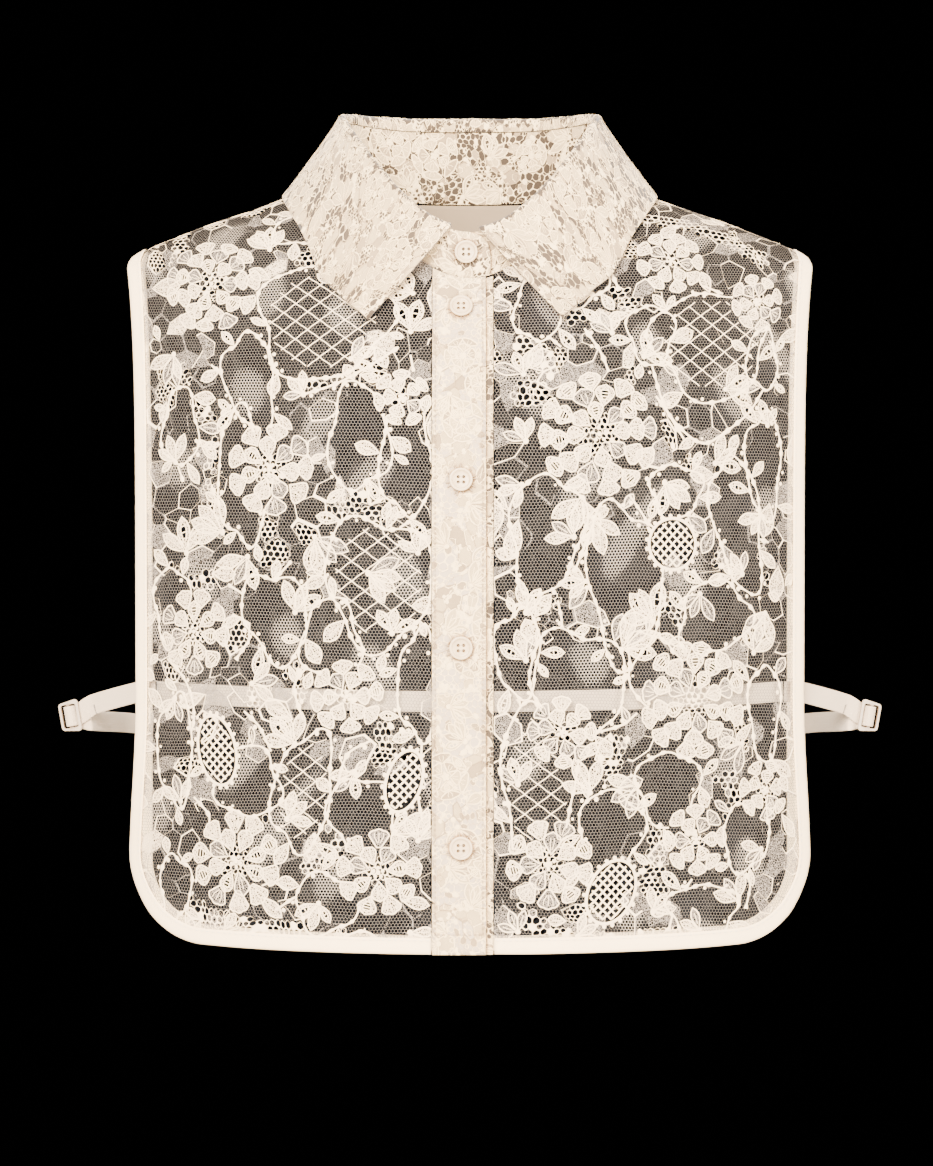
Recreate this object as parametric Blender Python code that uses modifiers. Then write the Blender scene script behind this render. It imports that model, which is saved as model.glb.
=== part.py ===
"""Lace dickey: a lace front and back joined at the shoulders, with a shirt collar.

It is worn over the shoulders and hangs open at both sides, where an elastic strap with a
slider joins front and back. The cloth keeps the hollow form that a wearer gives it.

Metres, +Z up, the front faces -Y. The origin is the middle of the neck opening, level with
the points where the shoulder seams meet the neckline. "Left" and "right" are the viewer's.
"""
import math

import bmesh
import bpy
from mathutils import Matrix, Vector

# Neckline, an oval in plan that is widest at the shoulder seams
NECK_HALF_WIDTH = 0.067
NECK_FRONT = 0.070
NECK_BACK = 0.042

# Shoulder ridge: its height over the middle, and how it falls to the tips
RIDGE_PEAK = 0.0120
RIDGE_SLOPE = 0.24
RIDGE_ROUND = 0.035
RIDGE_DROOP = 0.50
TIP_DIP = 0.0020
TIP_DIP_FROM_X = 0.166
THROAT_DIP = 0.016

# Fullness of front and back: depth at the middle, and the drop to where it is fullest
FRONT_DEPTH = 0.105
FRONT_REACH = 0.200
BACK_DEPTH = 0.088
BACK_REACH = 0.160
SECTION_HALF_SPAN = 0.200
HEM_RETURN = 0.05

# Outline of the two sides, half widths of the lace itself
TIP_HALF = 0.1790
WAIST_HALF = 0.1698
BACK_SIDE_HALF = 0.1763
SIDE_EASE = 0.050
HEM_FLARE = 0.0038
FLARE_TOP_Z = -0.275
FLARE_LOW_Z = -0.365
TIP_ROUND = 0.0030
TIP_ROUND_DROP = 0.006
CORNER_RADIUS = 0.0435
SHAPED_FROM_X = 0.090

# Hems, at the middle and the rise to the corners
FRONT_HEM_Z = -0.3958
FRONT_HEM_RISE = 0.0022
BACK_HEM_Z = -0.4110
BACK_HEM_RISE = 0.0070

# Walls and gaps
LACE_WALL = 0.0010
BAND_WALL = 0.0012
COLLAR_WALL = 0.0012
SEAM_GAP = 0.0003

# Button stand: the placket laps over the under placket, which is deeper
PLACKET_LEFT_X = -0.0190
PLACKET_RIGHT_X = 0.0080
PLACKET_LIFT = 0.00040
UNDER_LEFT_X = -0.0160
UNDER_RIGHT_X = 0.0117
UNDER_SINK = 0.00130
LAP_EASE = 0.020
PLACKET_TOP_DROP = 0.0015

# Edge binding, a folded strip round the raw edge
BINDING_WIDTH = 0.0083
BINDING_WALL = 0.0010
BINDING_OUTSIDE = 0.0013
BINDING_GAP = 0.00045

# Collar stand
STAND_BACK_HEIGHT = 0.0385
STAND_FRONT_HEIGHT = 0.0235
STAND_INSET = 0.0014
STAND_TOP_LEAN = 0.0004
STAND_SEAT = 0.0008
STAND_LAP_SINK = 0.0022
STAND_LAP_EASE = 0.60
STAND_OVER_X = 0.0106
STAND_UNDER_X = 0.0150
STAND_END_ROUND = 0.013

# Collar leaf: how far it rolls over the stand, and its outer edge
ROLL_FRONT = 0.0020
ROLL_BACK = 0.0075
FOLD_RADIUS_FRONT = 0.0013
FOLD_RADIUS_BACK = 0.0026
LEAF_END_LEFT_X = 0.0096
LEAF_END_RIGHT_X = 0.0049
LEAF_BULGE = -0.0012
LEAF_POINT_SHIFT = 0.0048
LEAF_CLEAR = 0.0019
LEAF_EDGE = [
    # share of the way from the back to the point, the edge in plan, and its height over the cloth
    dict(share=0.00, x=0.0000, y=0.0480, over=0.0070),
    dict(share=0.25, x=0.0680, y=0.0370, over=0.0040),
    dict(share=0.50, x=0.0968, y=-0.0100, over=0.0022),
    dict(share=0.75, x=0.0785, y=-0.0612, over=0.0024),
    dict(share=0.88, x=0.0645, y=-0.0745, over=0.0032),
    dict(share=1.00, x=0.0513, y=-0.0815, over=0.0042),
]

# Neck label, bare
LABEL_HALF_WIDTH = 0.027
LABEL_HEIGHT = 0.018
LABEL_WALL = 0.0010

# Buttons: centre line, height of each, and the turned outline
BUTTON_X = -0.0045
BUTTON_RADIUS = 0.00585
BUTTON_TOP_X = -0.0020
BUTTON_TOP_Z = -0.0425
BUTTON_HEIGHTS = (-0.0718, -0.1595, -0.2435, -0.3435)
BUTTON_OUTLINE = [
    # radius and height over the cloth
    dict(r=0.00000, h=0.00000),
    dict(r=0.00440, h=0.00000),
    dict(r=0.00570, h=0.00100),
    dict(r=0.00585, h=0.00160),
    dict(r=0.00545, h=0.00220),
    dict(r=0.00480, h=0.00215),
    dict(r=0.00430, h=0.00155),
    dict(r=0.00000, h=0.00140),
]
BUTTON_HOLE_RADIUS = 0.00070
BUTTON_HOLE_SPREAD = 0.00125

# Elastic straps
STRAP_WIDTH = 0.0104
STRAP_WALL = 0.0010
STRAP_INSIDE = 0.0035
STRAP_SIDE_Z = -0.2665
STRAP_SAG = 0.0040
STRAP_END_X = 0.1620
STRAP_BUTT_GAP = 0.0010
STRAP_BEND = 6.0

# Sliders: the frame round two slots, and how it stands at the end of each strap
SLIDER_AT = Vector((-0.2077, -0.0265, -0.2802))
SLIDER_TILT = math.radians(10.0)
SLIDER_TURN = math.radians(18.0)
SLIDER_HALF_LENGTH = 0.0055
SLIDER_OUTER_HALF = 0.0072
SLIDER_INNER_HALF = 0.0083
SLIDER_HALF_WALL = 0.0008
SLOT_HALF_HEIGHT = 0.0060
SLOT_HALF_WIDTH = 0.0016
SLOT_CENTRE = 0.0024
STRAP_RUN = [
    # round the middle bar: along the strap to the body, up the bar, and depth behind the bar
    dict(along=0.0140, up=0.0040, behind=0.0012),
    dict(along=0.0090, up=0.0024, behind=0.0019),
    dict(along=0.0055, up=0.0006, behind=0.0021),
    dict(along=0.0034, up=0.0000, behind=0.0016),
    dict(along=0.0023, up=0.0000, behind=0.0000),
    dict(along=0.0014, up=0.0000, behind=-0.0014),
    dict(along=0.0000, up=0.0000, behind=-0.0019),
    dict(along=-0.0016, up=0.0000, behind=-0.0014),
    dict(along=-0.0023, up=0.0000, behind=0.0000),
    dict(along=-0.0016, up=-0.0001, behind=0.0018),
    dict(along=0.0004, up=-0.0006, behind=0.0029),
    dict(along=0.0045, up=-0.0022, behind=0.0035),
    dict(along=0.0095, up=-0.0042, behind=0.0042),
]
STRAP_BACK_Z = -0.2870


def smooth_step(value):
    value = min(1.0, max(0.0, value))
    return value * value * (3.0 - 2.0 * value)


def mix(low, high, share):
    return low + (high - low) * share


def catmull(rows, share, names):
    """Values of the named columns at SHARE, on a smooth curve through the rows."""
    last = len(rows) - 2
    index = 0
    while index < last and share > rows[index + 1]["share"]:
        index += 1
    start, end = rows[index], rows[index + 1]
    before = rows[max(index - 1, 0)]
    after = rows[min(index + 2, len(rows) - 1)]
    span = end["share"] - start["share"]
    t = (share - start["share"]) / span
    result = []
    for name in names:
        slope_in = (end[name] - before[name]) / (end["share"] - before["share"]) * span
        slope_out = (after[name] - start[name]) / (after["share"] - start["share"]) * span
        result.append(
            (2 * t ** 3 - 3 * t ** 2 + 1) * start[name]
            + (t ** 3 - 2 * t ** 2 + t) * slope_in
            + (3 * t ** 2 - 2 * t ** 3) * end[name]
            + (t ** 3 - t ** 2) * slope_out
        )
    return result


def ridge(x):
    """Height of the shoulder ridge, carried on across the neck opening."""
    rounded = math.hypot(x, RIDGE_ROUND) - RIDGE_ROUND
    dip = TIP_DIP * smooth_step((abs(x) - TIP_DIP_FROM_X) / (TIP_HALF - TIP_DIP_FROM_X))
    return RIDGE_PEAK - RIDGE_SLOPE * rounded - RIDGE_DROOP * x * x - dip


def crest(x, front):
    """Where a section of the front or back would meet the ridge."""
    if not front:
        return ridge(x)
    inside = max(0.0, 1.0 - (x / NECK_HALF_WIDTH) ** 2)
    return ridge(x) - THROAT_DIP * inside ** 2


def fullness(x, front):
    depth = FRONT_DEPTH if front else BACK_DEPTH
    return depth * math.sqrt(1.0 - (x / SECTION_HALF_SPAN) ** 2)


def cloth_point(x, turn, front):
    """Middle of the cloth: TURN is 0 on the ridge, 1 where it is fullest, more below."""
    reach = FRONT_REACH if front else BACK_REACH
    angle = min(turn, 1.0) * math.pi / 2.0
    below = max(turn - 1.0, 0.0)
    drop = reach * (1.0 - math.cos(angle)) + below * reach * math.pi / 2.0
    depth = fullness(x, front) * math.sin(angle) * (1.0 - HEM_RETURN * below * below)
    return Vector((x, -depth if front else depth, crest(x, front) - drop))


def turn_at_height(x, z, front):
    reach = FRONT_REACH if front else BACK_REACH
    drop = crest(x, front) - z
    if drop >= reach:
        return 1.0 + (drop - reach) / (reach * math.pi / 2.0)
    return math.acos(1.0 - max(drop, 0.0) / reach) / (math.pi / 2.0)


def turn_at_depth(x, depth, front):
    return math.asin(depth / fullness(x, front)) / (math.pi / 2.0)


def cloth_normal(x, turn, front):
    step_x = 0.0005
    step_turn = 0.002
    low_turn = max(turn - step_turn, 0.0)
    across = cloth_point(x + step_x, turn, front) - cloth_point(x - step_x, turn, front)
    down = cloth_point(x, turn + step_turn, front) - cloth_point(x, low_turn, front)
    normal = across.cross(down) if not front else down.cross(across)
    return normal.normalized()


def side_half(x_plan, turn, front):
    """How far a column that is planned at X_PLAN really lies from the middle."""
    side = math.copysign(1.0, x_plan)
    reach = abs(x_plan)
    if reach <= SHAPED_FROM_X:
        return x_plan
    place = cloth_point(side * TIP_HALF, turn, front)
    drop = crest(TIP_HALF, front) - place.z
    lower = WAIST_HALF if front else BACK_SIDE_HALF
    half = mix(lower, TIP_HALF, math.exp(-drop / SIDE_EASE))
    if front:
        half += HEM_FLARE * smooth_step((FLARE_TOP_Z - place.z) / (FLARE_TOP_Z - FLARE_LOW_Z))
    half -= TIP_ROUND * max(0.0, 1.0 - drop / TIP_ROUND_DROP) ** 2
    share = (reach - SHAPED_FROM_X) / (TIP_HALF - SHAPED_FROM_X)
    return side * (reach + (half - TIP_HALF) * share ** 2)


def lap_offset(x, front):
    """The right front dips under the placket near the middle."""
    if not front or x < 0.0:
        return 0.0
    return -UNDER_SINK * (1.0 - smooth_step((x - UNDER_RIGHT_X) / LAP_EASE))


def panel_point(x_plan, turn, front, offset=0.0):
    """A point of a panel, moved out from the cloth's middle by OFFSET."""
    x = side_half(x_plan, turn, front)
    lift = offset + lap_offset(x, front)
    return cloth_point(x, turn, front) + cloth_normal(x, turn, front) * lift


def top_turn(x_plan, front):
    """TURN at the upper edge: the shoulder seam, or the neckline inside it."""
    inside = 1.0 - (x_plan / NECK_HALF_WIDTH) ** 2
    if inside > 0.0:
        depth = (NECK_FRONT if front else NECK_BACK) * math.sqrt(inside)
        return turn_at_depth(x_plan, depth, front)
    return SEAM_GAP / 2.0 / fullness(x_plan, front) / (math.pi / 2.0)


def hem_turn(x_plan, front):
    """TURN at the lower edge, with its round corners."""
    middle = FRONT_HEM_Z if front else BACK_HEM_Z
    rise = FRONT_HEM_RISE if front else BACK_HEM_RISE
    z = middle + rise * (x_plan / (TIP_HALF - CORNER_RADIUS)) ** 2
    past = (abs(x_plan) - (TIP_HALF - CORNER_RADIUS)) / CORNER_RADIUS
    if past > 0.0:
        z = middle + rise + CORNER_RADIUS * (1.0 - math.sqrt(max(0.0, 1.0 - past * past)))
    return turn_at_height(x_plan, z, front)


def make_material(name, colour, roughness):
    material = bpy.data.materials.new(name)
    material.use_nodes = True
    shader = material.node_tree.nodes["Principled BSDF"]
    shader.inputs["Base Color"].default_value = (*colour, 1.0)
    shader.inputs["Roughness"].default_value = roughness
    shader.inputs["Metallic"].default_value = 0.0
    return material


def add_object(name, data, collection, material):
    thing = bpy.data.objects.new(name, data)
    if material is not None:
        data.materials.append(material)
    collection.objects.link(thing)
    return thing


def sheet_mesh(name, rows):
    """An open surface through rows of points, all rows of one length."""
    mesh = bpy.data.meshes.new(name)
    points = [point for row in rows for point in row]
    wide = len(rows[0])
    faces = []
    for r in range(len(rows) - 1):
        for c in range(wide - 1):
            first = r * wide + c
            faces.append((first, first + 1, first + wide + 1, first + wide))
    mesh.from_pydata(points, [], faces)
    mesh.shade_smooth()
    return mesh


def thicken(thing, wall):
    """Solidify an open surface evenly to both sides."""
    modifier = thing.modifiers.new("wall", "SOLIDIFY")
    modifier.thickness = wall
    modifier.offset = 0.0
    modifier.use_even_offset = True
    return modifier


def tube_of_sections(name, sections):
    """A closed body through sections of one point count, with both ends filled."""
    shape = bmesh.new()
    rings = [[shape.verts.new(point) for point in section] for section in sections]
    count = len(rings[0])
    for ring, following in zip(rings, rings[1:]):
        for i in range(count):
            j = (i + 1) % count
            shape.faces.new((ring[i], ring[j], following[j], following[i]))
    shape.faces.new(list(reversed(rings[0])))
    shape.faces.new(rings[-1])
    bmesh.ops.recalc_face_normals(shape, faces=shape.faces)
    mesh = bpy.data.meshes.new(name)
    shape.to_mesh(mesh)
    shape.free()
    return mesh


# --- panels -----------------------------------------------------------------------------

NECK_COLUMNS = 7
SIDE_COLUMNS = 11
PANEL_ROWS = 18


def panel_columns(inner_x):
    """Planned places of a half panel's columns, closer at the neck point and the corner."""
    first = math.asin(inner_x / NECK_HALF_WIDTH)
    columns = []
    for i in range(NECK_COLUMNS):
        angle = mix(first, math.pi / 2.0, i / NECK_COLUMNS)
        columns.append(NECK_HALF_WIDTH * math.sin(angle))
    for i in range(SIDE_COLUMNS + 1):
        angle = i / SIDE_COLUMNS * math.pi / 2.0
        columns.append(mix(NECK_HALF_WIDTH, TIP_HALF, math.sin(angle)))
    return columns


def panel_rows(columns, front):
    rows = []
    for r in range(PANEL_ROWS + 1):
        row = []
        for x in columns:
            turn = mix(top_turn(x, front), hem_turn(x, front), r / PANEL_ROWS)
            row.append(panel_point(x, turn, front))
        rows.append(row)
    return rows


def build_panels(collection, material):
    left = [-x for x in reversed(panel_columns(-PLACKET_LEFT_X + SEAM_GAP))]
    right = panel_columns(UNDER_RIGHT_X + SEAM_GAP)
    half_back = panel_columns(0.0)
    whole_back = [-x for x in reversed(half_back)] + half_back[1:]
    plans = (("front_left", left, True), ("front_right", right, True), ("back", whole_back, False))
    for name, columns, front in plans:
        rows = panel_rows(columns, front)
        if front:
            rows = [list(reversed(row)) for row in rows]
        thing = add_object(name, sheet_mesh(name, rows), collection, material(name))
        thicken(thing, LACE_WALL)


# --- placket, binding -------------------------------------------------------------------

PLACKET_COLUMNS = 3


def build_placket(name, left_x, right_x, lift, collection, material):
    """A band down the front, made from the cloth's own points moved out or in."""
    rows = []
    for r in range(PANEL_ROWS + 1):
        row = []
        for c in range(PLACKET_COLUMNS + 1):
            x = mix(right_x, left_x, c / PLACKET_COLUMNS)
            neck_z = cloth_point(x, top_turn(x, True), True).z
            top = turn_at_height(x, neck_z - PLACKET_TOP_DROP, True)
            hem = turn_at_height(x, FRONT_HEM_Z - BINDING_OUTSIDE, True)
            turn = mix(top, hem, r / PANEL_ROWS)
            row.append(cloth_point(x, turn, True) + cloth_normal(x, turn, True) * lift)
        rows.append(row)
    thing = add_object(name, sheet_mesh(name, rows), collection, material)
    thicken(thing, BAND_WALL)


def binding_section():
    """Across the binding: distance in from the raw edge, and distance off the cloth."""
    gap = LACE_WALL / 2.0 + BINDING_GAP
    outer = gap + BINDING_WALL
    deep = BINDING_WIDTH - BINDING_OUTSIDE
    return (
        (deep, outer), (deep, gap), (-SEAM_GAP, gap), (-SEAM_GAP, -gap),
        (deep, -gap), (deep, -outer), (-BINDING_OUTSIDE, -outer), (-BINDING_OUTSIDE, outer),
    )


def edge_route(side):
    """The raw edge: front hem from the placket, corner, side, over the ridge, and the back."""
    start = -PLACKET_LEFT_X if side < 0 else UNDER_RIGHT_X
    hem = [start + 2.0 * SEAM_GAP] + panel_columns(start + SEAM_GAP)[1:]
    hem_back = [SEAM_GAP / 2.0] + panel_columns(0.0)[1:]
    route = [(x, hem_turn(x, True), True) for x in hem]
    for front, rows in ((True, range(PANEL_ROWS - 1, -1, -1)), (False, range(PANEL_ROWS))):
        for r in rows:
            turn = mix(top_turn(TIP_HALF, front), hem_turn(TIP_HALF, front), r / PANEL_ROWS)
            route.append((TIP_HALF, turn, front))
    route += [(x, hem_turn(x, False), False) for x in reversed(hem_back)]
    return [(side * x, turn, front) for x, turn, front in route]


def moved_over_cloth(x, turn, front, direction, distance, lift):
    """From a point of the cloth, DISTANCE along it in a DIRECTION, then LIFT off it."""
    step_x = 0.0005
    step_turn = 0.002
    across = cloth_point(x + step_x, turn, front) - cloth_point(x - step_x, turn, front)
    down = cloth_point(x, turn + step_turn, front) - cloth_point(x, turn, front)
    normal = across.cross(down)
    across_rate = direction.cross(down).dot(normal) / normal.dot(normal)
    down_rate = across.cross(direction).dot(normal) / normal.dot(normal)
    new_x = x + across_rate * 2.0 * step_x * distance
    new_turn = max(0.0, turn + down_rate * step_turn * distance)
    lift += lap_offset(new_x, front)
    return cloth_point(new_x, new_turn, front) + cloth_normal(new_x, new_turn, front) * lift


def build_binding(name, side, collection, material):
    route = edge_route(side)
    points = [panel_point(*stop) for stop in route]
    last = len(points) - 1
    sections = []
    for i, (x_plan, turn, front) in enumerate(route):
        x = side_half(x_plan, turn, front)
        along = (points[min(i + 1, last)] - points[max(i - 1, 0)]).normalized()
        inward = (cloth_normal(x, turn, front).cross(along) * side).normalized()
        sections.append([
            moved_over_cloth(x, turn, front, inward, width, lift) for width, lift in binding_section()
        ])
    add_object(name, tube_of_sections(name, sections), collection, material)


# --- collar -----------------------------------------------------------------------------

STAND_ROWS = 3
STAND_END_STATIONS = 3
LEAF_STATIONS = 44
FALL_ROWS = 6
FOLD_STEPS = 4


def neck_plan(angle, inset):
    """The neck oval in plan: ANGLE is 0 at the back and half a turn at the front."""
    depth = NECK_BACK if math.cos(angle) > 0.0 else NECK_FRONT
    x = (NECK_HALF_WIDTH - inset) * math.sin(angle)
    y = (depth - inset) * math.cos(angle)
    return Vector((x, y, 0.0))


def neck_outward(angle):
    depth = NECK_BACK if math.cos(angle) > 0.0 else NECK_FRONT
    normal = Vector((math.sin(angle) * depth, math.cos(angle) * NECK_HALF_WIDTH, 0.0))
    return normal.normalized()


def neck_height(angle):
    """Height of the panels' neck edge."""
    place = neck_plan(angle, 0.0)
    front = place.y < 0.0
    reach = FRONT_REACH if front else BACK_REACH
    inside = 1.0 - (place.y / fullness(place.x, front)) ** 2
    return crest(place.x, front) - reach * (1.0 - math.sqrt(inside))


def back_share(angle):
    return (1.0 + math.cos(angle)) / 2.0


def stand_height(angle):
    return mix(STAND_FRONT_HEIGHT, STAND_BACK_HEIGHT, back_share(angle))


def stand_inset(angle, up):
    """How far inside the neck edge the stand is, UP of its height over the edge."""
    lap = smooth_step((angle - (math.pi - STAND_LAP_EASE)) / STAND_LAP_EASE)
    return STAND_INSET + STAND_TOP_LEAN * up + STAND_LAP_SINK * lap


def stand_point(angle, up):
    place = neck_plan(angle, stand_inset(angle, up))
    place.z = neck_height(angle) - STAND_SEAT + stand_height(angle) * up
    return place


def stand_ends():
    return (
        -math.pi - math.asin(STAND_OVER_X / NECK_HALF_WIDTH),
        math.pi + math.asin(STAND_UNDER_X / NECK_HALF_WIDTH),
    )


def end_rounding(angle):
    """The stand's top is cut round at both ends."""
    left, right = stand_ends()
    past = min(angle - left, right - angle) * NECK_HALF_WIDTH
    short = max(0.0, 1.0 - past / STAND_END_ROUND)
    return 1.0 - 0.55 * (1.0 - math.sqrt(max(0.0, 1.0 - short * short)))


def build_stand(collection, material):
    left, right = stand_ends()
    angles = leaf_angles()
    steps = range(STAND_END_STATIONS)
    angles = [mix(left, angles[0], i / STAND_END_STATIONS) for i in steps] + angles
    angles += [mix(right, angles[-1], i / STAND_END_STATIONS) for i in reversed(steps)]
    angles.reverse()
    rows = []
    for r in range(STAND_ROWS + 1):
        rows.append([stand_point(angle, r / STAND_ROWS * end_rounding(angle)) for angle in angles])
    mesh = sheet_mesh("collar_stand", rows)
    thing = add_object("collar_stand", mesh, collection, material)
    thicken(thing, COLLAR_WALL)


def leaf_ends():
    top = NECK_HALF_WIDTH - STAND_INSET - STAND_TOP_LEAN
    return -math.pi + math.asin(LEAF_END_LEFT_X / top), math.pi - math.asin(LEAF_END_RIGHT_X / top)


def leaf_angles():
    left, right = leaf_ends()
    return [mix(left, right, i / LEAF_STATIONS) for i in range(LEAF_STATIONS + 1)]


def over_cloth(x, y, over):
    """The place OVER the cloth that lies at X, Y in plan."""
    front = y < 0.0
    turn = turn_at_depth(x, abs(y), front)
    return cloth_point(x, turn, front) + cloth_normal(x, turn, front) * over


def clear_of_cloth(place):
    """PLACE, moved off the cloth where it would come nearer than the leaf may."""
    below = over_cloth(place.x, place.y, 0.0)
    normal = over_cloth(place.x, place.y, 1.0) - below
    height = (place - below).dot(normal)
    return place + normal * max(0.0, LEAF_CLEAR - height)


def leaf_edge_point(angle):
    left, right = leaf_ends()
    share = angle / right if angle > 0.0 else angle / left
    x, y, over = catmull(LEAF_EDGE, share, ("x", "y", "over"))
    if angle < 0.0:
        return over_cloth(-x, y, over)
    return over_cloth(x - LEAF_POINT_SHIFT * smooth_step(share * 2.0 - 1.0), y, over)


def leaf_section(angle):
    """From the stand's top up over the fold and down to the leaf's outer edge."""
    top = stand_point(angle, 1.0)
    outward = neck_outward(angle)
    up = Vector((0.0, 0.0, 1.0))
    radius = mix(FOLD_RADIUS_FRONT, FOLD_RADIUS_BACK, back_share(angle))
    roll = mix(ROLL_FRONT, ROLL_BACK, back_share(angle) ** 1.2)
    section = [top + up * 1.5 * SEAM_GAP]
    section.append(top + up * max(roll - radius, 3.0 * SEAM_GAP))
    middle = section[-1] + outward * radius
    for i in range(1, FOLD_STEPS + 1):
        turn = math.pi * i / FOLD_STEPS
        section.append(middle - outward * radius * math.cos(turn) + up * radius * math.sin(turn))
    start = section[-1]
    edge = leaf_edge_point(angle)
    bend = (start + edge) / 2.0 + (outward + up).normalized() * LEAF_BULGE
    for i in range(1, FALL_ROWS + 1):
        t = i / FALL_ROWS
        place = start * (1 - t) ** 2 + bend * 2 * t * (1 - t) + edge * t * t
        section.append(clear_of_cloth(place))
    return section


def build_leaf(collection, material):
    mesh = sheet_mesh("collar_leaf", [leaf_section(angle) for angle in leaf_angles()])
    thing = add_object("collar_leaf", mesh, collection, material)
    thicken(thing, COLLAR_WALL)


def build_label(collection, material):
    """A bare label that hangs from the stand's lower edge at the back."""
    rows = []
    steps = 6
    for r in range(3):
        row = []
        for i in range(steps + 1):
            x = mix(-LABEL_HALF_WIDTH, LABEL_HALF_WIDTH, i / steps)
            angle = math.asin(x / (NECK_HALF_WIDTH - STAND_INSET))
            place = stand_point(angle, 0.0)
            place.z = neck_height(0.0) - STAND_SEAT - 2.0 * SEAM_GAP - LABEL_HEIGHT * r / 2
            row.append(place)
        rows.append(row)
    thing = add_object("neck_label", sheet_mesh("neck_label", rows), collection, material)
    thicken(thing, LABEL_WALL)


# --- buttons ----------------------------------------------------------------------------

def facing(normal):
    """A turn whose Z axis is NORMAL and whose Y axis points up the garment."""
    side = Vector((0.0, 0.0, 1.0)).cross(normal).normalized()
    upward = normal.cross(side)
    return Matrix((side, upward, normal)).transposed().to_4x4()


def button_mesh():
    mesh = bpy.data.meshes.new("button")
    points = [(row["r"], 0.0, row["h"]) for row in BUTTON_OUTLINE]
    edges = [(i, i + 1) for i in range(len(points) - 1)]
    mesh.from_pydata(points, edges, [])
    return mesh


def hole_cutter_mesh():
    shape = bmesh.new()
    for across in (-1, 1):
        for up in (-1, 1):
            place = (across * BUTTON_HOLE_SPREAD, up * BUTTON_HOLE_SPREAD, 0.001)
            bmesh.ops.create_cone(
                shape, cap_ends=True, segments=6, radius1=BUTTON_HOLE_RADIUS,
                radius2=BUTTON_HOLE_RADIUS, depth=0.006, matrix=Matrix.Translation(place),
            )
    mesh = bpy.data.meshes.new("button_holes")
    shape.to_mesh(mesh)
    shape.free()
    return mesh


def button_places():
    """Place and facing of each button: one on the stand, four down the placket."""
    angle = -math.pi - math.asin(BUTTON_TOP_X / NECK_HALF_WIDTH)
    up = (BUTTON_TOP_Z - stand_point(angle, 0.0).z) / stand_height(angle)
    lean = stand_point(angle, 1.0) - stand_point(angle, 0.0)
    side = Vector((1.0, 0.0, 0.0))
    outward = side.cross(lean).normalized()
    rise = COLLAR_WALL / 2.0 + SEAM_GAP
    places = [(stand_point(angle, up) + outward * rise, outward)]
    rise = PLACKET_LIFT + BAND_WALL / 2.0 + SEAM_GAP
    for z in BUTTON_HEIGHTS:
        turn = turn_at_height(BUTTON_X, z, True)
        normal = cloth_normal(BUTTON_X, turn, True)
        places.append((cloth_point(BUTTON_X, turn, True) + normal * rise, normal))
    return places


def build_buttons(collection, cutters, material):
    for number, (place, normal) in enumerate(button_places(), start=1):
        name = "button_%d" % number
        button = add_object(name, button_mesh(), collection, material(name))
        button.matrix_world = Matrix.Translation(place) @ facing(normal)
        turned = button.modifiers.new("turned", "SCREW")
        turned.axis = "Z"
        turned.steps = 18
        turned.render_steps = 18
        turned.use_merge_vertices = True
        turned.merge_threshold = 0.00002
        turned.use_normal_calculate = True
        cutter = add_object(name + "_holes", hole_cutter_mesh(), cutters, None)
        cutter.matrix_world = button.matrix_world
        cutter.hide_render = True
        cutter.display_type = "WIRE"
        cut = button.modifiers.new("holes", "BOOLEAN")
        cut.operation = "DIFFERENCE"
        cut.solver = "EXACT"
        cut.object = cutter


# --- straps and sliders -----------------------------------------------------------------

def ribbon_mesh(name, stops):
    """A flat strap through (centre, direction of its width) stops."""
    last = len(stops) - 1
    sections = []
    for i, (centre, wide) in enumerate(stops):
        along = (stops[min(i + 1, last)][0] - stops[max(i - 1, 0)][0]).normalized()
        wide = (wide - along * wide.dot(along)).normalized() * (STRAP_WIDTH / 2.0)
        thick = along.cross(wide).normalized() * (STRAP_WALL / 2.0)
        sections.append([
            centre + wide + thick, centre - wide + thick,
            centre - wide - thick, centre + wide - thick,
        ])
    return tube_of_sections(name, sections)


def inside_front(x, z):
    """A point on the strap's route inside the front, and the way up along the cloth there."""
    turn = turn_at_height(x, z, True)
    normal = cloth_normal(x, turn, True)
    upward = cloth_point(x, turn - 0.02, True) - cloth_point(x, turn + 0.02, True)
    return cloth_point(x, turn, True) - normal * STRAP_INSIDE, upward.normalized()


def build_front_strap(collection, material):
    """The elastic that crosses the inside of the front and sags a little."""
    stops = []
    steps = 28
    for i in range(steps + 1):
        x = mix(-STRAP_END_X, STRAP_END_X, i / steps)
        sag = STRAP_SAG * (1.0 - (x / STRAP_END_X) ** 2)
        stops.append(inside_front(x, STRAP_SIDE_Z - sag))
    add_object("strap_front", ribbon_mesh("strap_front", stops), collection, material)


def slider_axes(side):
    """Along the strap to the body, up the bars, and away from the viewer."""
    flat = math.cos(SLIDER_TURN)
    along = Vector((math.cos(SLIDER_TILT) * flat, -math.sin(SLIDER_TURN), math.sin(SLIDER_TILT) * flat))
    bar = Vector((-math.sin(SLIDER_TILT), 0.0, math.cos(SLIDER_TILT)))
    bar = (bar - along * bar.dot(along)).normalized()
    along.x *= side
    bar.x *= side
    behind = along.cross(bar)
    if behind.y < 0.0:
        behind = -behind
    return along, bar, behind


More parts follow.
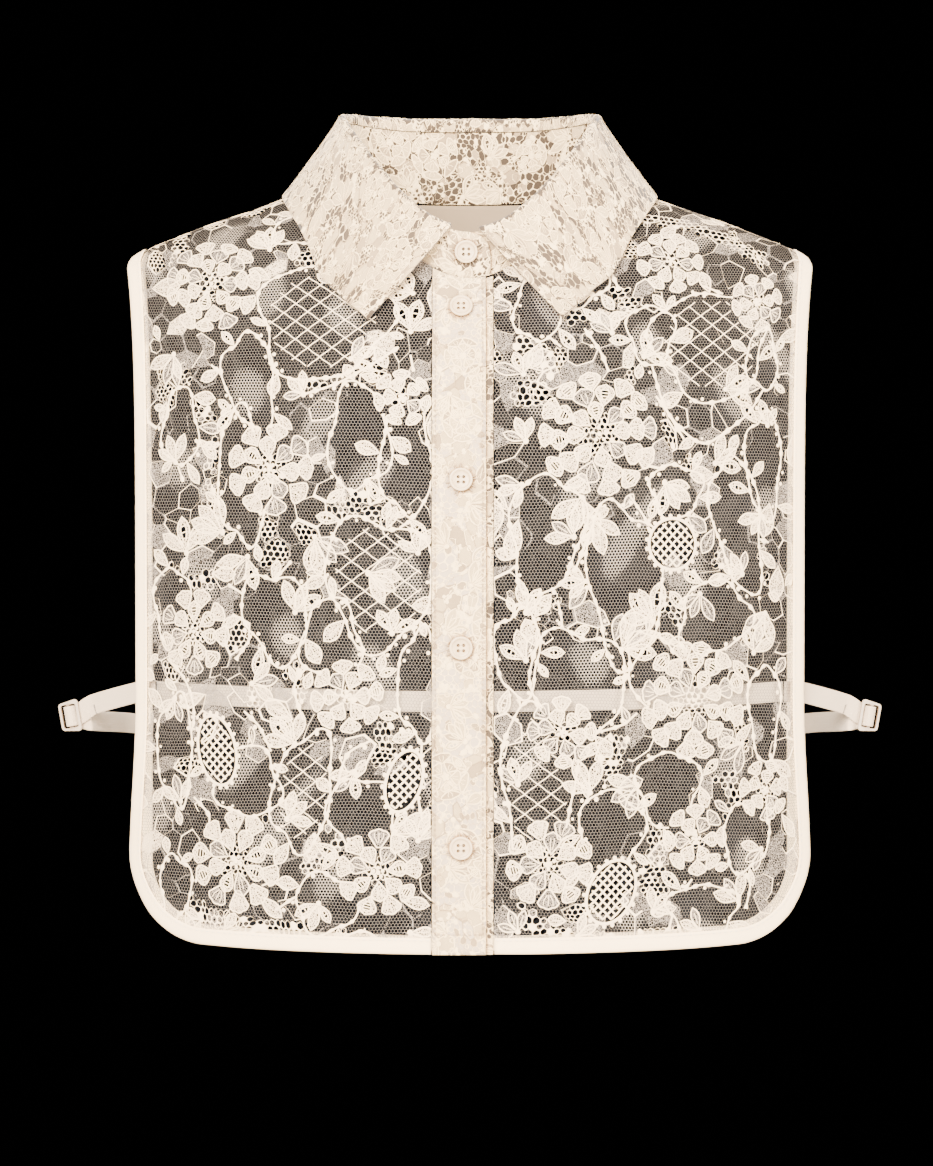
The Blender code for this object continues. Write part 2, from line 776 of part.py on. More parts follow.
def strap_stops(side):
    """The side strap: front binding, round the slider's middle bar, back binding."""
    along, bar, behind = slider_axes(side)
    centre = Vector((SLIDER_AT.x * side, SLIDER_AT.y, SLIDER_AT.z))
    stops = []
    for x in (STRAP_END_X + STRAP_BUTT_GAP, 0.1660, 0.1700, 0.1745):
        place, upward = inside_front(x, STRAP_SIDE_Z - STRAP_BEND * (x - STRAP_END_X) ** 2)
        place.x *= -side
        upward.x *= -side
        stops.append((place, upward))
    for row in STRAP_RUN:
        place = centre + along * row["along"] + bar * row["up"] + behind * row["behind"]
        stops.append((place, bar))
    for x, share in ((0.1830, 0.55), (0.1757, 0.894), (0.1700, 1.0)):
        y = mix(0.0, 0.0416, share)
        upward = Vector((0.0, 0.0, 1.0))
        stops.append((Vector((-x * side, y, mix(-0.2830, STRAP_BACK_Z, share))), upward))
    return stops


def smooth_stops(stops, parts):
    """More stops on a Catmull-Rom curve through the given ones."""
    rows = []
    length = 0.0
    for i, (centre, wide) in enumerate(stops):
        if i:
            length += (centre - stops[i - 1][0]).length
        rows.append(dict(share=length, x=centre.x, y=centre.y, z=centre.z, u=wide.x, v=wide.y, w=wide.z))
    result = []
    for start, end in zip(rows, rows[1:]):
        pieces = max(1, min(parts, round((end["share"] - start["share"]) / 0.0016)))
        for i in range(pieces):
            at = mix(start["share"], end["share"], i / pieces)
            x, y, z, u, v, w = catmull(rows, at, ("x", "y", "z", "u", "v", "w"))
            result.append((Vector((x, y, z)), Vector((u, v, w))))
    result.append(stops[-1])
    return result


def rounded_outline(half_left, half_right, left, right, radius):
    """A closed outline with round corners, its ends of two heights."""
    corners = ((right, half_right), (left, half_left), (left, -half_left), (right, -half_right))
    points = []
    for i, (x, y) in enumerate(corners):
        centre = (x - math.copysign(radius, x - (left + right) / 2.0), y - math.copysign(radius, y))
        first = (0.0, 90.0, 180.0, 270.0)[i]
        for step in range(4):
            angle = math.radians(first + 30.0 * step)
            points.append((centre[0] + radius * math.cos(angle), centre[1] + radius * math.sin(angle)))
    return points


def build_slider(name, side, collection, material):
    """A flat frame with two slots, its bars across the strap."""
    curve = bpy.data.curves.new(name, "CURVE")
    curve.dimensions = "2D"
    curve.fill_mode = "BOTH"
    curve.extrude = SLIDER_HALF_WALL
    outlines = [rounded_outline(
        SLIDER_OUTER_HALF, SLIDER_INNER_HALF, -SLIDER_HALF_LENGTH, SLIDER_HALF_LENGTH, 0.0018)]
    for slot in (-SLOT_CENTRE, SLOT_CENTRE):
        outlines.append(rounded_outline(
            SLOT_HALF_HEIGHT, SLOT_HALF_HEIGHT, slot - SLOT_HALF_WIDTH, slot + SLOT_HALF_WIDTH, 0.0008))
    for points in outlines:
        spline = curve.splines.new("POLY")
        spline.points.add(len(points) - 1)
        for target, (x, y) in zip(spline.points, points):
            target.co = (x, y, 0.0, 1.0)
        spline.use_cyclic_u = True
    thing = add_object(name, curve, collection, material)
    along, bar, _ = slider_axes(side)
    turn = Matrix((along, bar, along.cross(bar))).transposed().to_4x4()
    place = Vector((SLIDER_AT.x * side, SLIDER_AT.y, SLIDER_AT.z))
    thing.matrix_world = Matrix.Translation(place) @ turn


def build_straps(collection, material):
    build_front_strap(collection, material("strap_front"))
    for label, side in (("left", 1.0), ("right", -1.0)):
        strap = "strap_" + label
        mesh = ribbon_mesh(strap, smooth_stops(strap_stops(side), 6))
        add_object(strap, mesh, collection, material(strap))
        slider = "slider_" + label
        build_slider(slider, side, collection, material(slider))


FINISHES = {
    # the start of a node's name: colour and roughness
    "front": ((0.86, 0.81, 0.74), 0.80),
    "back": ((0.86, 0.81, 0.74), 0.80),
    "placket": ((0.88, 0.83, 0.74), 0.75),
    "under": ((0.80, 0.74, 0.64), 0.80),
    "collar": ((0.88, 0.84, 0.76), 0.75),
    "neck": ((0.62, 0.57, 0.50), 0.45),
    "binding": ((0.89, 0.85, 0.78), 0.50),
    "strap": ((0.72, 0.67, 0.60), 0.55),
    "slider": ((0.85, 0.80, 0.72), 0.35),
    "button": ((0.86, 0.81, 0.68), 0.30),
}


def finish_of(name):
    colour, roughness = FINISHES[name.split("_")[0]]
    return make_material(name + "_finish", colour, roughness)


def main():
    for thing in list(bpy.data.objects):
        bpy.data.objects.remove(thing, do_unlink=True)
    parts = bpy.data.collections.new("lace_dickey")
    cutters = bpy.data.collections.new("cutters")
    for collection in (parts, cutters):
        bpy.context.scene.collection.children.link(collection)
    build_panels(parts, finish_of)
    build_placket("placket", PLACKET_LEFT_X, PLACKET_RIGHT_X, PLACKET_LIFT, parts, finish_of("placket"))
    build_placket("under_placket", UNDER_LEFT_X, UNDER_RIGHT_X, -UNDER_SINK, parts, finish_of("under"))
    build_binding("binding_left", -1.0, parts, finish_of("binding_left"))
    build_binding("binding_right", 1.0, parts, finish_of("binding_right"))
    build_stand(parts, finish_of("collar_stand"))
    build_leaf(parts, finish_of("collar_leaf"))
    build_label(parts, finish_of("neck_label"))
    build_buttons(parts, cutters, finish_of)
    build_straps(parts, finish_of)


main()
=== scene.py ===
"""Lace dickey: its cloth, threads, buttons and finishes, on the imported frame.

Flat lace is designed as places ACROSS and UP a panel's cut, in metres, and a panel object lays
those places on the garment's form. "Left" and "right" are the viewer's.
"""
import math
import random

import bmesh
import bpy
import numpy as np
from mathutils import Matrix, Vector


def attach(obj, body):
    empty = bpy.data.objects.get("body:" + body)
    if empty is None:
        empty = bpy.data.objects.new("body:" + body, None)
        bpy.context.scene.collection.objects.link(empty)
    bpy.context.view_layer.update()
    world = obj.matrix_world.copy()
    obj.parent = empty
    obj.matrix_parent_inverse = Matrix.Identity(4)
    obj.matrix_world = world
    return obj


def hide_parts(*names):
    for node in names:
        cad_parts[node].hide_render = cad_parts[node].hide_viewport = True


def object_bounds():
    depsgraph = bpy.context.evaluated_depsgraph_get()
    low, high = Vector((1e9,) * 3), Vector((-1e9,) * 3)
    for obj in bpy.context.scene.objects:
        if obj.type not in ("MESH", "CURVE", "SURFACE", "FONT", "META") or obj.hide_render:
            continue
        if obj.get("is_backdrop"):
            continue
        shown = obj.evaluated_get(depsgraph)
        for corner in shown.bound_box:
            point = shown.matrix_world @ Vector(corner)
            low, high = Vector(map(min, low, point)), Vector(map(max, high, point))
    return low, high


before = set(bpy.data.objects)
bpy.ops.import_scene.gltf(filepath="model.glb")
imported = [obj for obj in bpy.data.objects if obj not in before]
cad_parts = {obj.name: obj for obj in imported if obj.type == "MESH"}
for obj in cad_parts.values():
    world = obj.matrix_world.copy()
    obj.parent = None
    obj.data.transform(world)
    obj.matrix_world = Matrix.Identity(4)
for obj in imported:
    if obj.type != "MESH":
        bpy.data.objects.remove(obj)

cad_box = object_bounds()

# --- the garment's form: the same named sizes as the part --------------------------------

NECK_HALF_WIDTH = 0.067
NECK_FRONT = 0.070
NECK_BACK = 0.042
RIDGE_PEAK = 0.0120
RIDGE_SLOPE = 0.24
RIDGE_ROUND = 0.035
RIDGE_DROOP = 0.50
TIP_DIP = 0.0020
TIP_DIP_FROM_X = 0.166
THROAT_DIP = 0.016
DEPTH = {True: 0.105, False: 0.088}
REACH = {True: 0.200, False: 0.160}
SECTION_HALF_SPAN = 0.200
HEM_RETURN = 0.05
TIP_HALF = 0.1790
LOWER_HALF = {True: 0.1698, False: 0.1763}
SIDE_EASE = 0.050
HEM_FLARE = 0.0038
FLARE_TOP_Z = -0.275
FLARE_LOW_Z = -0.365
TIP_ROUND = 0.0030
TIP_ROUND_DROP = 0.006
CORNER_RADIUS = 0.0435
SHAPED_FROM_X = 0.090
HEM_Z = {True: -0.3958, False: -0.4110}
HEM_RISE = {True: 0.0022, False: 0.0070}
SEAM_GAP = 0.0003
PLACKET_LEFT_X = -0.0190
PLACKET_RIGHT_X = 0.0080
UNDER_LEFT_X = -0.0160
UNDER_RIGHT_X = 0.0117
UNDER_SINK = 0.00130
LAP_EASE = 0.020
QUARTER = math.pi / 2.0


def smooth_step(value):
    value = np.clip(value, 0.0, 1.0)
    return value * value * (3.0 - 2.0 * value)


def mix(low, high, share):
    return low + (high - low) * share


def ridge(x):
    """Height of the shoulder ridge, carried on across the neck opening."""
    rounded = np.hypot(x, RIDGE_ROUND) - RIDGE_ROUND
    dip = TIP_DIP * smooth_step((np.abs(x) - TIP_DIP_FROM_X) / (TIP_HALF - TIP_DIP_FROM_X))
    return RIDGE_PEAK - RIDGE_SLOPE * rounded - RIDGE_DROOP * x * x - dip


def crest(x, front):
    if not front:
        return ridge(x)
    inside = np.maximum(0.0, 1.0 - (x / NECK_HALF_WIDTH) ** 2)
    return ridge(x) - THROAT_DIP * inside ** 2


def fullness(x, front):
    return DEPTH[front] * np.sqrt(np.maximum(1e-4, 1.0 - (x / SECTION_HALF_SPAN) ** 2))


def cloth(x, turn, front):
    """Middle of the cloth: TURN is 0 on the ridge, 1 where it is fullest, more below."""
    x, turn = np.broadcast_arrays(np.asarray(x, float), np.asarray(turn, float))
    angle = np.minimum(turn, 1.0) * QUARTER
    below = np.maximum(turn - 1.0, 0.0)
    drop = REACH[front] * (1.0 - np.cos(angle) + below * QUARTER)
    depth = fullness(x, front) * np.sin(angle) * (1.0 - HEM_RETURN * below ** 2)
    return np.stack([x, -depth if front else depth, crest(x, front) - drop], axis=-1)


def unit(vectors):
    return vectors / np.maximum(1e-12, np.linalg.norm(vectors, axis=-1, keepdims=True))


def run_of(line):
    """How far along a line each of its points is."""
    return np.concatenate([[0.0], np.cumsum(np.linalg.norm(np.diff(line, axis=0), axis=1))])


def cloth_normal(x, turn, front):
    step_x = 0.0005
    step_turn = 0.002
    across = cloth(x + step_x, turn, front) - cloth(x - step_x, turn, front)
    down = cloth(x, turn + step_turn, front) - cloth(x, np.maximum(turn - step_turn, 0.0), front)
    normal = np.cross(down, across) if front else np.cross(across, down)
    return unit(normal)


def turn_at_height(x, z, front):
    drop = crest(x, front) - z
    reach = REACH[front]
    above = np.arccos(np.clip(1.0 - np.maximum(drop, 0.0) / reach, -1.0, 1.0)) / QUARTER
    return np.where(drop >= reach, 1.0 + (drop - reach) / (reach * QUARTER), above)


def turn_at_depth(x, depth, front):
    return np.arcsin(np.clip(depth / fullness(x, front), -1.0, 1.0)) / QUARTER


def top_turn(x, front):
    """TURN at the upper edge: the shoulder seam, or the neckline inside it."""
    inside = np.maximum(0.0, 1.0 - (x / NECK_HALF_WIDTH) ** 2)
    depth = (NECK_FRONT if front else NECK_BACK) * np.sqrt(inside)
    return np.maximum(turn_at_depth(x, depth, front), SEAM_GAP / 2.0 / fullness(x, front) / QUARTER)


def hem_turn(x_plan, front):
    """TURN at the lower edge, with its round corners."""
    reach = np.abs(x_plan)
    straight = TIP_HALF - CORNER_RADIUS
    z = HEM_Z[front] + HEM_RISE[front] * (np.minimum(reach, straight) / straight) ** 2
    past = np.clip((reach - straight) / CORNER_RADIUS, 0.0, 1.0)
    z = z + CORNER_RADIUS * (1.0 - np.sqrt(1.0 - past * past))
    return turn_at_height(x_plan, z, front)


def side_at(turn, front):
    """Half width of a panel at its side edge."""
    place = cloth(TIP_HALF, turn, front)
    drop = crest(TIP_HALF, front) - place[..., 2]
    half = mix(LOWER_HALF[front], TIP_HALF, np.exp(-drop / SIDE_EASE))
    if front:
        half = half + HEM_FLARE * smooth_step((FLARE_TOP_Z - place[..., 2]) / (FLARE_TOP_Z - FLARE_LOW_Z))
    return half - TIP_ROUND * np.maximum(0.0, 1.0 - drop / TIP_ROUND_DROP) ** 2


def shaped_x(x_plan, turn, front):
    """How far a column planned at X_PLAN really lies from the middle."""
    share = np.clip((np.abs(x_plan) - SHAPED_FROM_X) / (TIP_HALF - SHAPED_FROM_X), 0.0, 1.0)
    return x_plan + np.sign(x_plan) * (side_at(turn, front) - TIP_HALF) * share ** 2


def planned_x(x, turn, front):
    plan = np.array(x, float)
    for _ in range(4):
        plan = plan + (x - shaped_x(plan, turn, front))
    return plan


def lap_offset(x, front):
    """The right front dips under the placket near the middle."""
    if not front:
        return np.zeros_like(x)
    dip = -UNDER_SINK * (1.0 - smooth_step((x - UNDER_RIGHT_X) / LAP_EASE))
    return np.where(x > 0.0, dip, 0.0)


class Panel:
    """A lace panel: lays places across and up its flat cut on the garment's form."""

    COLUMNS = 201
    HEM_LEVEL = -0.395

    def __init__(self, front, low_x, high_x):
        self.front = self.faces_viewer = front
        self.low_x = low_x
        self.high_x = high_x
        self.xs = np.linspace(-0.1985, 0.1985, self.COLUMNS)
        self.ups = np.linspace(-0.03, 0.47, 251)
        turns = np.linspace(0.0, 2.3, 461)
        grid = cloth(self.xs[:, None], turns[None, :], front)
        runs = np.linalg.norm(np.diff(grid, axis=1), axis=2)
        runs = np.concatenate([np.zeros((self.COLUMNS, 1)), np.cumsum(runs, axis=1)], axis=1)
        rows = []
        for heights, run in zip(grid[:, :, 2], runs):
            up = np.interp(-self.HEM_LEVEL, -heights, run) - run
            rows.append(np.interp(self.ups, up[::-1], turns[::-1]))
        self.turns = np.array(rows)
        full = cloth(self.xs, 1.0, front)
        along = run_of(full)
        self.across = along - np.interp(0.0, self.xs, along)

    def to_form(self, flat):
        x = np.interp(flat[:, 0], self.across, self.xs)
        column = np.clip((x - self.xs[0]) / (self.xs[1] - self.xs[0]), 0, self.COLUMNS - 1.001)
        row = np.clip((flat[:, 1] - self.ups[0]) / (self.ups[1] - self.ups[0]), 0, len(self.ups) - 1.001)
        i, j = column.astype(int), row.astype(int)
        u, v = column - i, row - j
        low = mix(self.turns[i, j], self.turns[i + 1, j], u)
        high = mix(self.turns[i, j + 1], self.turns[i + 1, j + 1], u)
        return x, mix(low, high, v)

    def held(self, x, turn):
        """X and TURN, kept within the panel's own cut."""
        side = side_at(turn, self.front)
        x = np.clip(x, np.maximum(self.low_x, -side), np.minimum(self.high_x, side))
        turn = np.maximum(turn, top_turn(x, self.front))
        return x, np.minimum(turn, hem_turn(planned_x(x, turn, self.front), self.front))

    def inside(self, flat):
        x, turn = self.to_form(flat)
        held_x, held_turn = self.held(x, turn)
        return (np.abs(x - held_x) < 1e-6) & (np.abs(turn - held_turn) < 1e-5)

    def to_flat(self, x, z):
        """The flat place of a point of the form, given its X and its height."""
        turn = turn_at_height(x, z, self.front)
        column = int(np.clip(np.searchsorted(self.xs, x), 1, self.COLUMNS - 1))
        up = np.interp(-turn, -self.turns[column], self.ups)
        return float(np.interp(x, self.xs, self.across)), float(up)

    def lie(self, flat, lift):
        x, turn = self.held(*self.to_form(flat))
        ease = smooth_step((np.abs(x) - 0.03) / 0.03) * smooth_step((0.15 - np.abs(x)) / 0.04)
        wave = 0.0006 * np.sin(x * 95.0 + turn * 4.0) * np.sin(turn * 7.0 + x * 20.0) * ease
        lift = lift + lap_offset(x, self.front) + wave
        return cloth(x, turn, self.front) + cloth_normal(x, turn, self.front) * lift[:, None]


# --- flat lace work, in millimetres of the cut -------------------------------------------

THREAD, DENSE, CORD, GAUZE, PALE = range(5)
GRAIN = 0.5
ROW_RISE = 0.866
MM = 1000.0


def turned(points, angle, at=(0.0, 0.0)):
    c, s = math.cos(angle), math.sin(angle)
    return np.asarray(points) @ np.array([[c, s], [-s, c]]) + np.asarray(at)


def heading(angle, length=1.0):
    """A step that points up at angle 0 and turns to the left."""
    return np.array([-math.sin(angle), math.cos(angle)]) * length


def in_outline(x, y, outline):
    inside = np.zeros(np.broadcast(x, y).shape, bool)
    for (x0, y0), (x1, y1) in zip(outline, np.roll(outline, -1, axis=0)):
        if y0 != y1:
            inside ^= ((y0 > y) != (y1 > y)) & (x < x0 + (y - y0) * (x1 - x0) / (y1 - y0))
    return inside


def petal_outline(length, width, blunt, points=7):
    """A petal's outline from its foot, pointing up."""
    t = np.linspace(0.0, 1.0, points)
    half = width / 2.0 * np.sin(np.pi * t ** (1.0 + blunt)) ** (0.95 - 0.35 * blunt)
    half[0] = half[-1] = 0.0
    right = np.stack([half, t * length], 1)
    left = np.stack([-half, t * length], 1)[::-1][1:-1]
    return np.concatenate([right, left])


def oval(at, across, up, steps=24, first=0.0):
    angle = first + np.arange(steps) * 2.0 * np.pi / steps
    return np.stack([at[0] + across * np.cos(angle), at[1] + up * np.sin(angle)], 1)


def smooth_line(stops, step):
    """Points every STEP on a curve through the stops."""
    stops = np.asarray(stops, float)
    ends = np.vstack([2 * stops[0] - stops[1], stops, 2 * stops[-1] - stops[-2]])
    t = np.linspace(0.0, 1.0, 13)[:-1, None]
    runs = []
    for a, b, c, d in zip(ends, ends[1:], ends[2:], ends[3:]):
        runs.append(0.5 * (2 * b + (c - a) * t + (2 * a - 5 * b + 4 * c - d) * t ** 2
                           + (3 * b - a - 3 * c + d) * t ** 3))
    line = np.vstack(runs + [stops[-1:]])
    run = run_of(line)
    at = np.linspace(0.0, run[-1], max(2, int(run[-1] / step) + 1))
    return np.stack([np.interp(at, run, line[:, 0]), np.interp(at, run, line[:, 1])], 1)


def box(low, high):
    """The outline of a rectangle."""
    return np.array([low, (high[0], low[1]), high, (low[0], high[1])], float)


def staggered(low, columns, rows, pitch):
    """Row numbers and places of a grid whose odd rows stand half a step aside."""
    i, j = np.meshgrid(np.arange(columns), np.arange(rows), indexing="ij")
    return j, low + np.stack([(i + 0.5 * (j % 2)) * pitch, j * pitch * ROW_RISE], -1)


def stretches(kept):
    """First place and end of each run of a line that is kept, where it is long enough to show."""
    ends = np.flatnonzero(np.diff(np.concatenate([[0], kept.astype(int), [0]])))
    return [(first, last) for first, last in zip(ends[::2], ends[1::2]) if last - first > 2]


def aside_of(line, closed):
    ahead = np.roll(line, -1, axis=0) - np.roll(line, 1, axis=0) if closed else np.gradient(line, axis=0)
    ahead = unit(ahead)
    return np.stack([-ahead[:, 1], ahead[:, 0]], 1)


class Work:
    """Lace work on a flat cut: points, faces and materials, and the ground it covers."""

    def __init__(self, low, high, seed):
        self.low = np.array(low, float)
        self.high = np.array(high, float)
        self.taken = np.zeros(np.ceil((self.high - self.low) / GRAIN).astype(int), bool)
        self.open = np.zeros_like(self.taken)
        self.solid = np.zeros_like(self.taken)
        self.chance = random.Random(seed)
        self.dice = np.random.default_rng(seed)
        self.points = []
        self.faces = []
        self.kinds = []
        self.count = 0

    def add(self, points, lifts, faces, kind):
        points = np.asarray(points, float)
        lifts = np.broadcast_to(np.asarray(lifts, float), (len(points),))
        self.points.append(np.column_stack([points, lifts]))
        self.faces.extend(tuple(i + self.count for i in face) for face in faces)
        self.kinds.extend([kind] * len(faces))
        self.count += len(points)

    def cell(self, points):
        index = np.floor((np.atleast_2d(points) - self.low) / GRAIN).astype(int)
        return np.clip(index, 0, np.array(self.taken.shape) - 1)

    def free(self, points, mark=None):
        index = self.cell(points)
        return ~(self.taken if mark is None else mark)[index[:, 0], index[:, 1]]

    def cover(self, outline, mark=None):
        """Marks the ground inside an outline as covered, or in another map."""
        mark = self.taken if mark is None else mark
        (i0, j0), (i1, j1) = self.cell(outline.min(axis=0))[0], self.cell(outline.max(axis=0))[0]
        x = self.low[0] + (np.arange(i0, i1 + 1) + 0.5) * GRAIN
        y = self.low[1] + (np.arange(j0, j1 + 1) + 0.5) * GRAIN
        mark[i0:i1 + 1, j0:j1 + 1] |= in_outline(x[:, None], y[None, :], outline)

    def window(self, at, across, up, turn=0.0, crossed=False):
        """An open cloud of plain net, or of crossed diamonds, with a knotted stem round it."""
        angle = np.arange(22) * math.tau / 22
        first = self.chance.uniform(0.0, math.tau)
        swell = 1.0 + 0.11 * np.sin(3.0 * angle + first) + 0.07 * np.sin(5.0 * angle - first)
        edge = np.stack([across * swell * np.cos(angle), up * swell * np.sin(angle)], 1)
        edge = turned(edge, turn, at)
        self.cover(edge, self.open)
        self.vine(np.vstack([edge, edge[:1]]), 0.95, 3.1, 8.0, through=True)
        aside = -aside_of(edge, True)
        for i in range(self.chance.randrange(3), len(edge), 3):
            if self.chance.random() < 0.75 and self.free(edge[i] + aside[i] * 5.0)[0]:
                out = math.atan2(-aside[i, 0], aside[i, 1]) + self.chance.uniform(-0.9, 0.9)
                foot = edge[i] + aside[i] * 0.6
                length = self.chance.uniform(8.0, 15.0)
                if self.chance.random() < 0.3:
                    self.slotted(foot, out, length, length * 0.44, 3)
                else:
                    fill = GAUZE if self.chance.random() < 0.2 else DENSE
                    self.petal(foot, out, length, length * self.chance.uniform(0.36, 0.6), fill, 0.3, 0.2, 1)
        if crossed:
            self.lattice(turned(oval((0.0, 0.0), across * 0.84, up * 0.84), turn, at))

    def fan(self, outline, kind, lift, dome=0.0, cover=True):
        count = len(outline)
        points = np.vstack([outline, outline.mean(axis=0)])
        lifts = np.append(np.full(count, lift), lift + dome)
        self.add(points, lifts, [(i, (i + 1) % count, count) for i in range(count)], kind)
        if cover:
            self.cover(outline)

    def ring(self, outer, inner, kind, lift):
        count = len(outer)
        ahead = [(i + 1) % count for i in range(count)]
        faces = [(i, ahead[i], count + ahead[i], count + i) for i in range(count)]
        self.add(np.vstack([outer, inner]), lift, faces, kind)

    def ribbon(self, line, width, lift, kind=CORD, closed=False, raised=True, cover=False):
        """A thread along a line; its width is one size, or one for each point."""
        line = np.asarray(line, float)
        count = len(line)
        width = np.broadcast_to(np.asarray(width, float), (count,))
        aside = aside_of(line, closed) * width[:, None] / 2.0
        base = np.full(count, lift)
        points = [line + aside, line - aside]
        lifts = [base, base]
        strips = ((0, 1),)
        if raised:
            points.insert(1, line)
            lifts.insert(1, base + 0.3 * width)
            strips = ((0, 1), (1, 2))
        faces = []
        for i in range(count if closed else count - 1):
            e = (i + 1) % count
            faces += [(b * count + i, b * count + e, a * count + e, a * count + i) for a, b in strips]
        self.add(np.vstack(points), np.concatenate(lifts), faces, kind)
        if cover:
            self.cover(np.vstack([line + aside, (line - aside)[::-1]]))

    # motifs

    def corded(self, outline, fill, lift):
        """A domed patch of cloth with a cord round it."""
        self.fan(outline, fill, lift, 0.10)
        self.ribbon(outline, 0.75, lift + 0.06, closed=True)

    def veins(self, at, angle, spreads, rows, width, lift):
        """Raised lines up a petal; ROWS give each line's share of its spread, and its height."""
        for spread in spreads:
            vein = np.array([(spread * share, up) for share, up in rows])
            self.ribbon(turned(vein, angle, at), width, lift + 0.16, raised=False)

    def petal(self, at, angle, length, width, fill=DENSE, blunt=0.5, lift=0.20, veins=2):
        self.corded(turned(petal_outline(length, width, blunt), angle, at), fill, lift)
        spreads = [(i - (veins - 1) / 2.0) * 0.22 * width for i in range(veins)]
        reaches = (0.3, length * 0.22), (1.0, length * 0.5), (0.9, length * 0.74)
        self.veins(at, angle, spreads, reaches, 0.38, lift)

    def slotted(self, at, angle, length, width, rungs=4, blunt=0.3, lift=0.20):
        """A leaf with a long slot, and rungs across the slot."""
        outer = turned(petal_outline(length, width, blunt), angle, at)
        slot = petal_outline(length * 0.66, width * 0.44, blunt)
        inner = turned(slot + np.array([0.0, length * 0.19]), angle, at)
        self.ring(outer, inner, DENSE, lift)
        self.cover(outer)
        self.ribbon(outer, 0.7, lift + 0.05, closed=True)
        self.ribbon(inner, 0.5, lift + 0.05, closed=True, raised=False)
        for i in range(rungs):
            up = length * (0.19 + 0.66 * (i + 0.8) / (rungs + 0.6))
            rung = np.array([(-width * 0.2, up), (width * 0.2, up + 0.3)])
            self.ribbon(turned(rung, angle, at), 0.55, lift + 0.02, raised=False)

    def dot(self, at, radius, lift=0.22):
        first = self.chance.uniform(0.0, 1.0)
        tall = radius * self.chance.uniform(0.85, 1.2)
        self.fan(oval(at, radius, tall, 7, first), CORD, lift, radius * 0.3)

    def scallops(self, at, angle, length, width, lobes, fill, lift):
        """A wide petal whose end is cut in round lobes."""
        steps = 4 * lobes
        outline = [(width * 0.10, 0.0), (width * 0.34, length * 0.42)]
        for i in range(steps + 1):
            t = i / steps
            turn = math.radians(mix(-62.0, 62.0, t))
            out = length * (0.50 + 0.06 * abs(math.sin(math.pi * lobes * t)))
            outline.append((math.sin(-turn) * width * 0.54, length * 0.44 + math.cos(turn) * out))
        outline += [(-width * 0.34, length * 0.42), (-width * 0.10, 0.0)]
        self.corded(turned(np.array(outline), angle, at), fill, lift)
        spreads = [i * 0.2 * width for i in (-1, 0, 1)]
        reaches = (0.3, length * 0.25), (1.0, length * 0.55), (1.1, length * 0.8)
        self.veins(at, angle, spreads, reaches, 0.4, lift)

    def flower(self, at, radius, petals=10, rings=2, turn=0.0, lobed=True, spread=0.86, airy=True):
        """Rings of petals round a pierced heart."""
        at = np.asarray(at, float)
        self.cover(oval(at, radius * 0.86, radius * 0.86), self.solid)
        if airy:
            self.cover(oval(at, radius * 0.97, radius * 0.97), self.open)
        band = 0.74 / rings
        for ring in range(rings):
            count = max(5, petals - 2 * ring)
            start = radius * (0.94 - band * (ring + 1))
            length = radius * (band + 0.06) * (1.12 if ring else 1.0)
            wide = math.tau * (start + 0.62 * length) / count * spread
            for i in range(count):
                angle = turn + math.tau * (i + 0.5 * ring) / count + self.chance.uniform(-0.08, 0.08)
                reach = length * self.chance.uniform(0.90, 1.06)
                foot = at + heading(angle, start)
                lift = 0.20 + 0.14 * ring + 0.03 * (i % 2)
                fill = GAUZE if self.chance.random() < 0.20 + 0.16 * ring else DENSE
                if self.chance.random() < 0.26:
                    self.slotted(foot, angle, reach, wide * 0.9, 4, 0.6, lift)
                elif lobed and ring == 0:
                    self.scallops(foot, angle, reach, wide, 3, fill, lift)
                else:
                    self.petal(foot, angle, reach, wide, fill, 0.7, lift)
        heart = oval(at, radius * 0.36, radius * 0.36)
        self.pebble(heart, 3.0, blobs=0.05, gauze=0.0, hole=(0.7, 0.9), closed=True)
        for i in range(5):
            self.dot(at + heading(turn + i * math.tau / 5.0, radius * 0.26 * 0.42), 0.95, 0.30)
        self.dot(at, 1.2, 0.32)

    def sprig(self, at, angle, size, leaves=3):
        """A few leaves on one stalk."""
        at = np.asarray(at, float)
        for i in range(leaves):
            lean = angle + (i - (leaves - 1) / 2.0) * (1.5 / max(1, leaves - 1))
            lean += self.chance.uniform(-0.12, 0.12)
            length = size * self.chance.uniform(0.8, 1.1)
            roll = self.chance.random()
            foot = at + heading(lean, size * 0.08)
            if roll < 0.3:
                self.slotted(foot, lean, length, length * 0.46, 3)
            else:
                fill = GAUZE if roll < 0.45 else DENSE
                self.petal(foot, lean, length, length * 0.42, fill, 0.25, 0.18 + 0.04 * i, 1)
        self.dot(at, 1.5, 0.30)

    def vine(self, stops, width=1.1, swell=3.2, every=9.0, lift=0.16, through=False):
        """A knotted stem with round buds."""
        line = smooth_line(stops, 1.25)
        run = np.arange(len(line)) * 1.25
        widths = np.full(len(line), width)
        knot = self.chance.uniform(1.0, every)
        while knot < run[-1]:
            grown = width + (swell - width) * self.chance.uniform(0.45, 1.0)
            widths = np.maximum(widths, grown * np.exp(-((run - knot) / (grown * 0.62)) ** 2))
            knot += every * self.chance.uniform(0.6, 1.3)
        clear = self.free(line, self.solid) & (through | self.free(line, self.open))
        for first, last in stretches(clear):
            self.ribbon(line[first:last], widths[first:last], lift, cover=True)
        aside = aside_of(line, False)
        for i in range(3, len(line) - 2, 5):
            if clear[i] and self.chance.random() < 0.42:
                side = self.chance.choice((-1.0, 1.0))
                beside = line[i] + aside[i] * side * self.chance.uniform(1.4, 2.4)
                self.dot(beside, self.chance.uniform(0.7, 1.25))

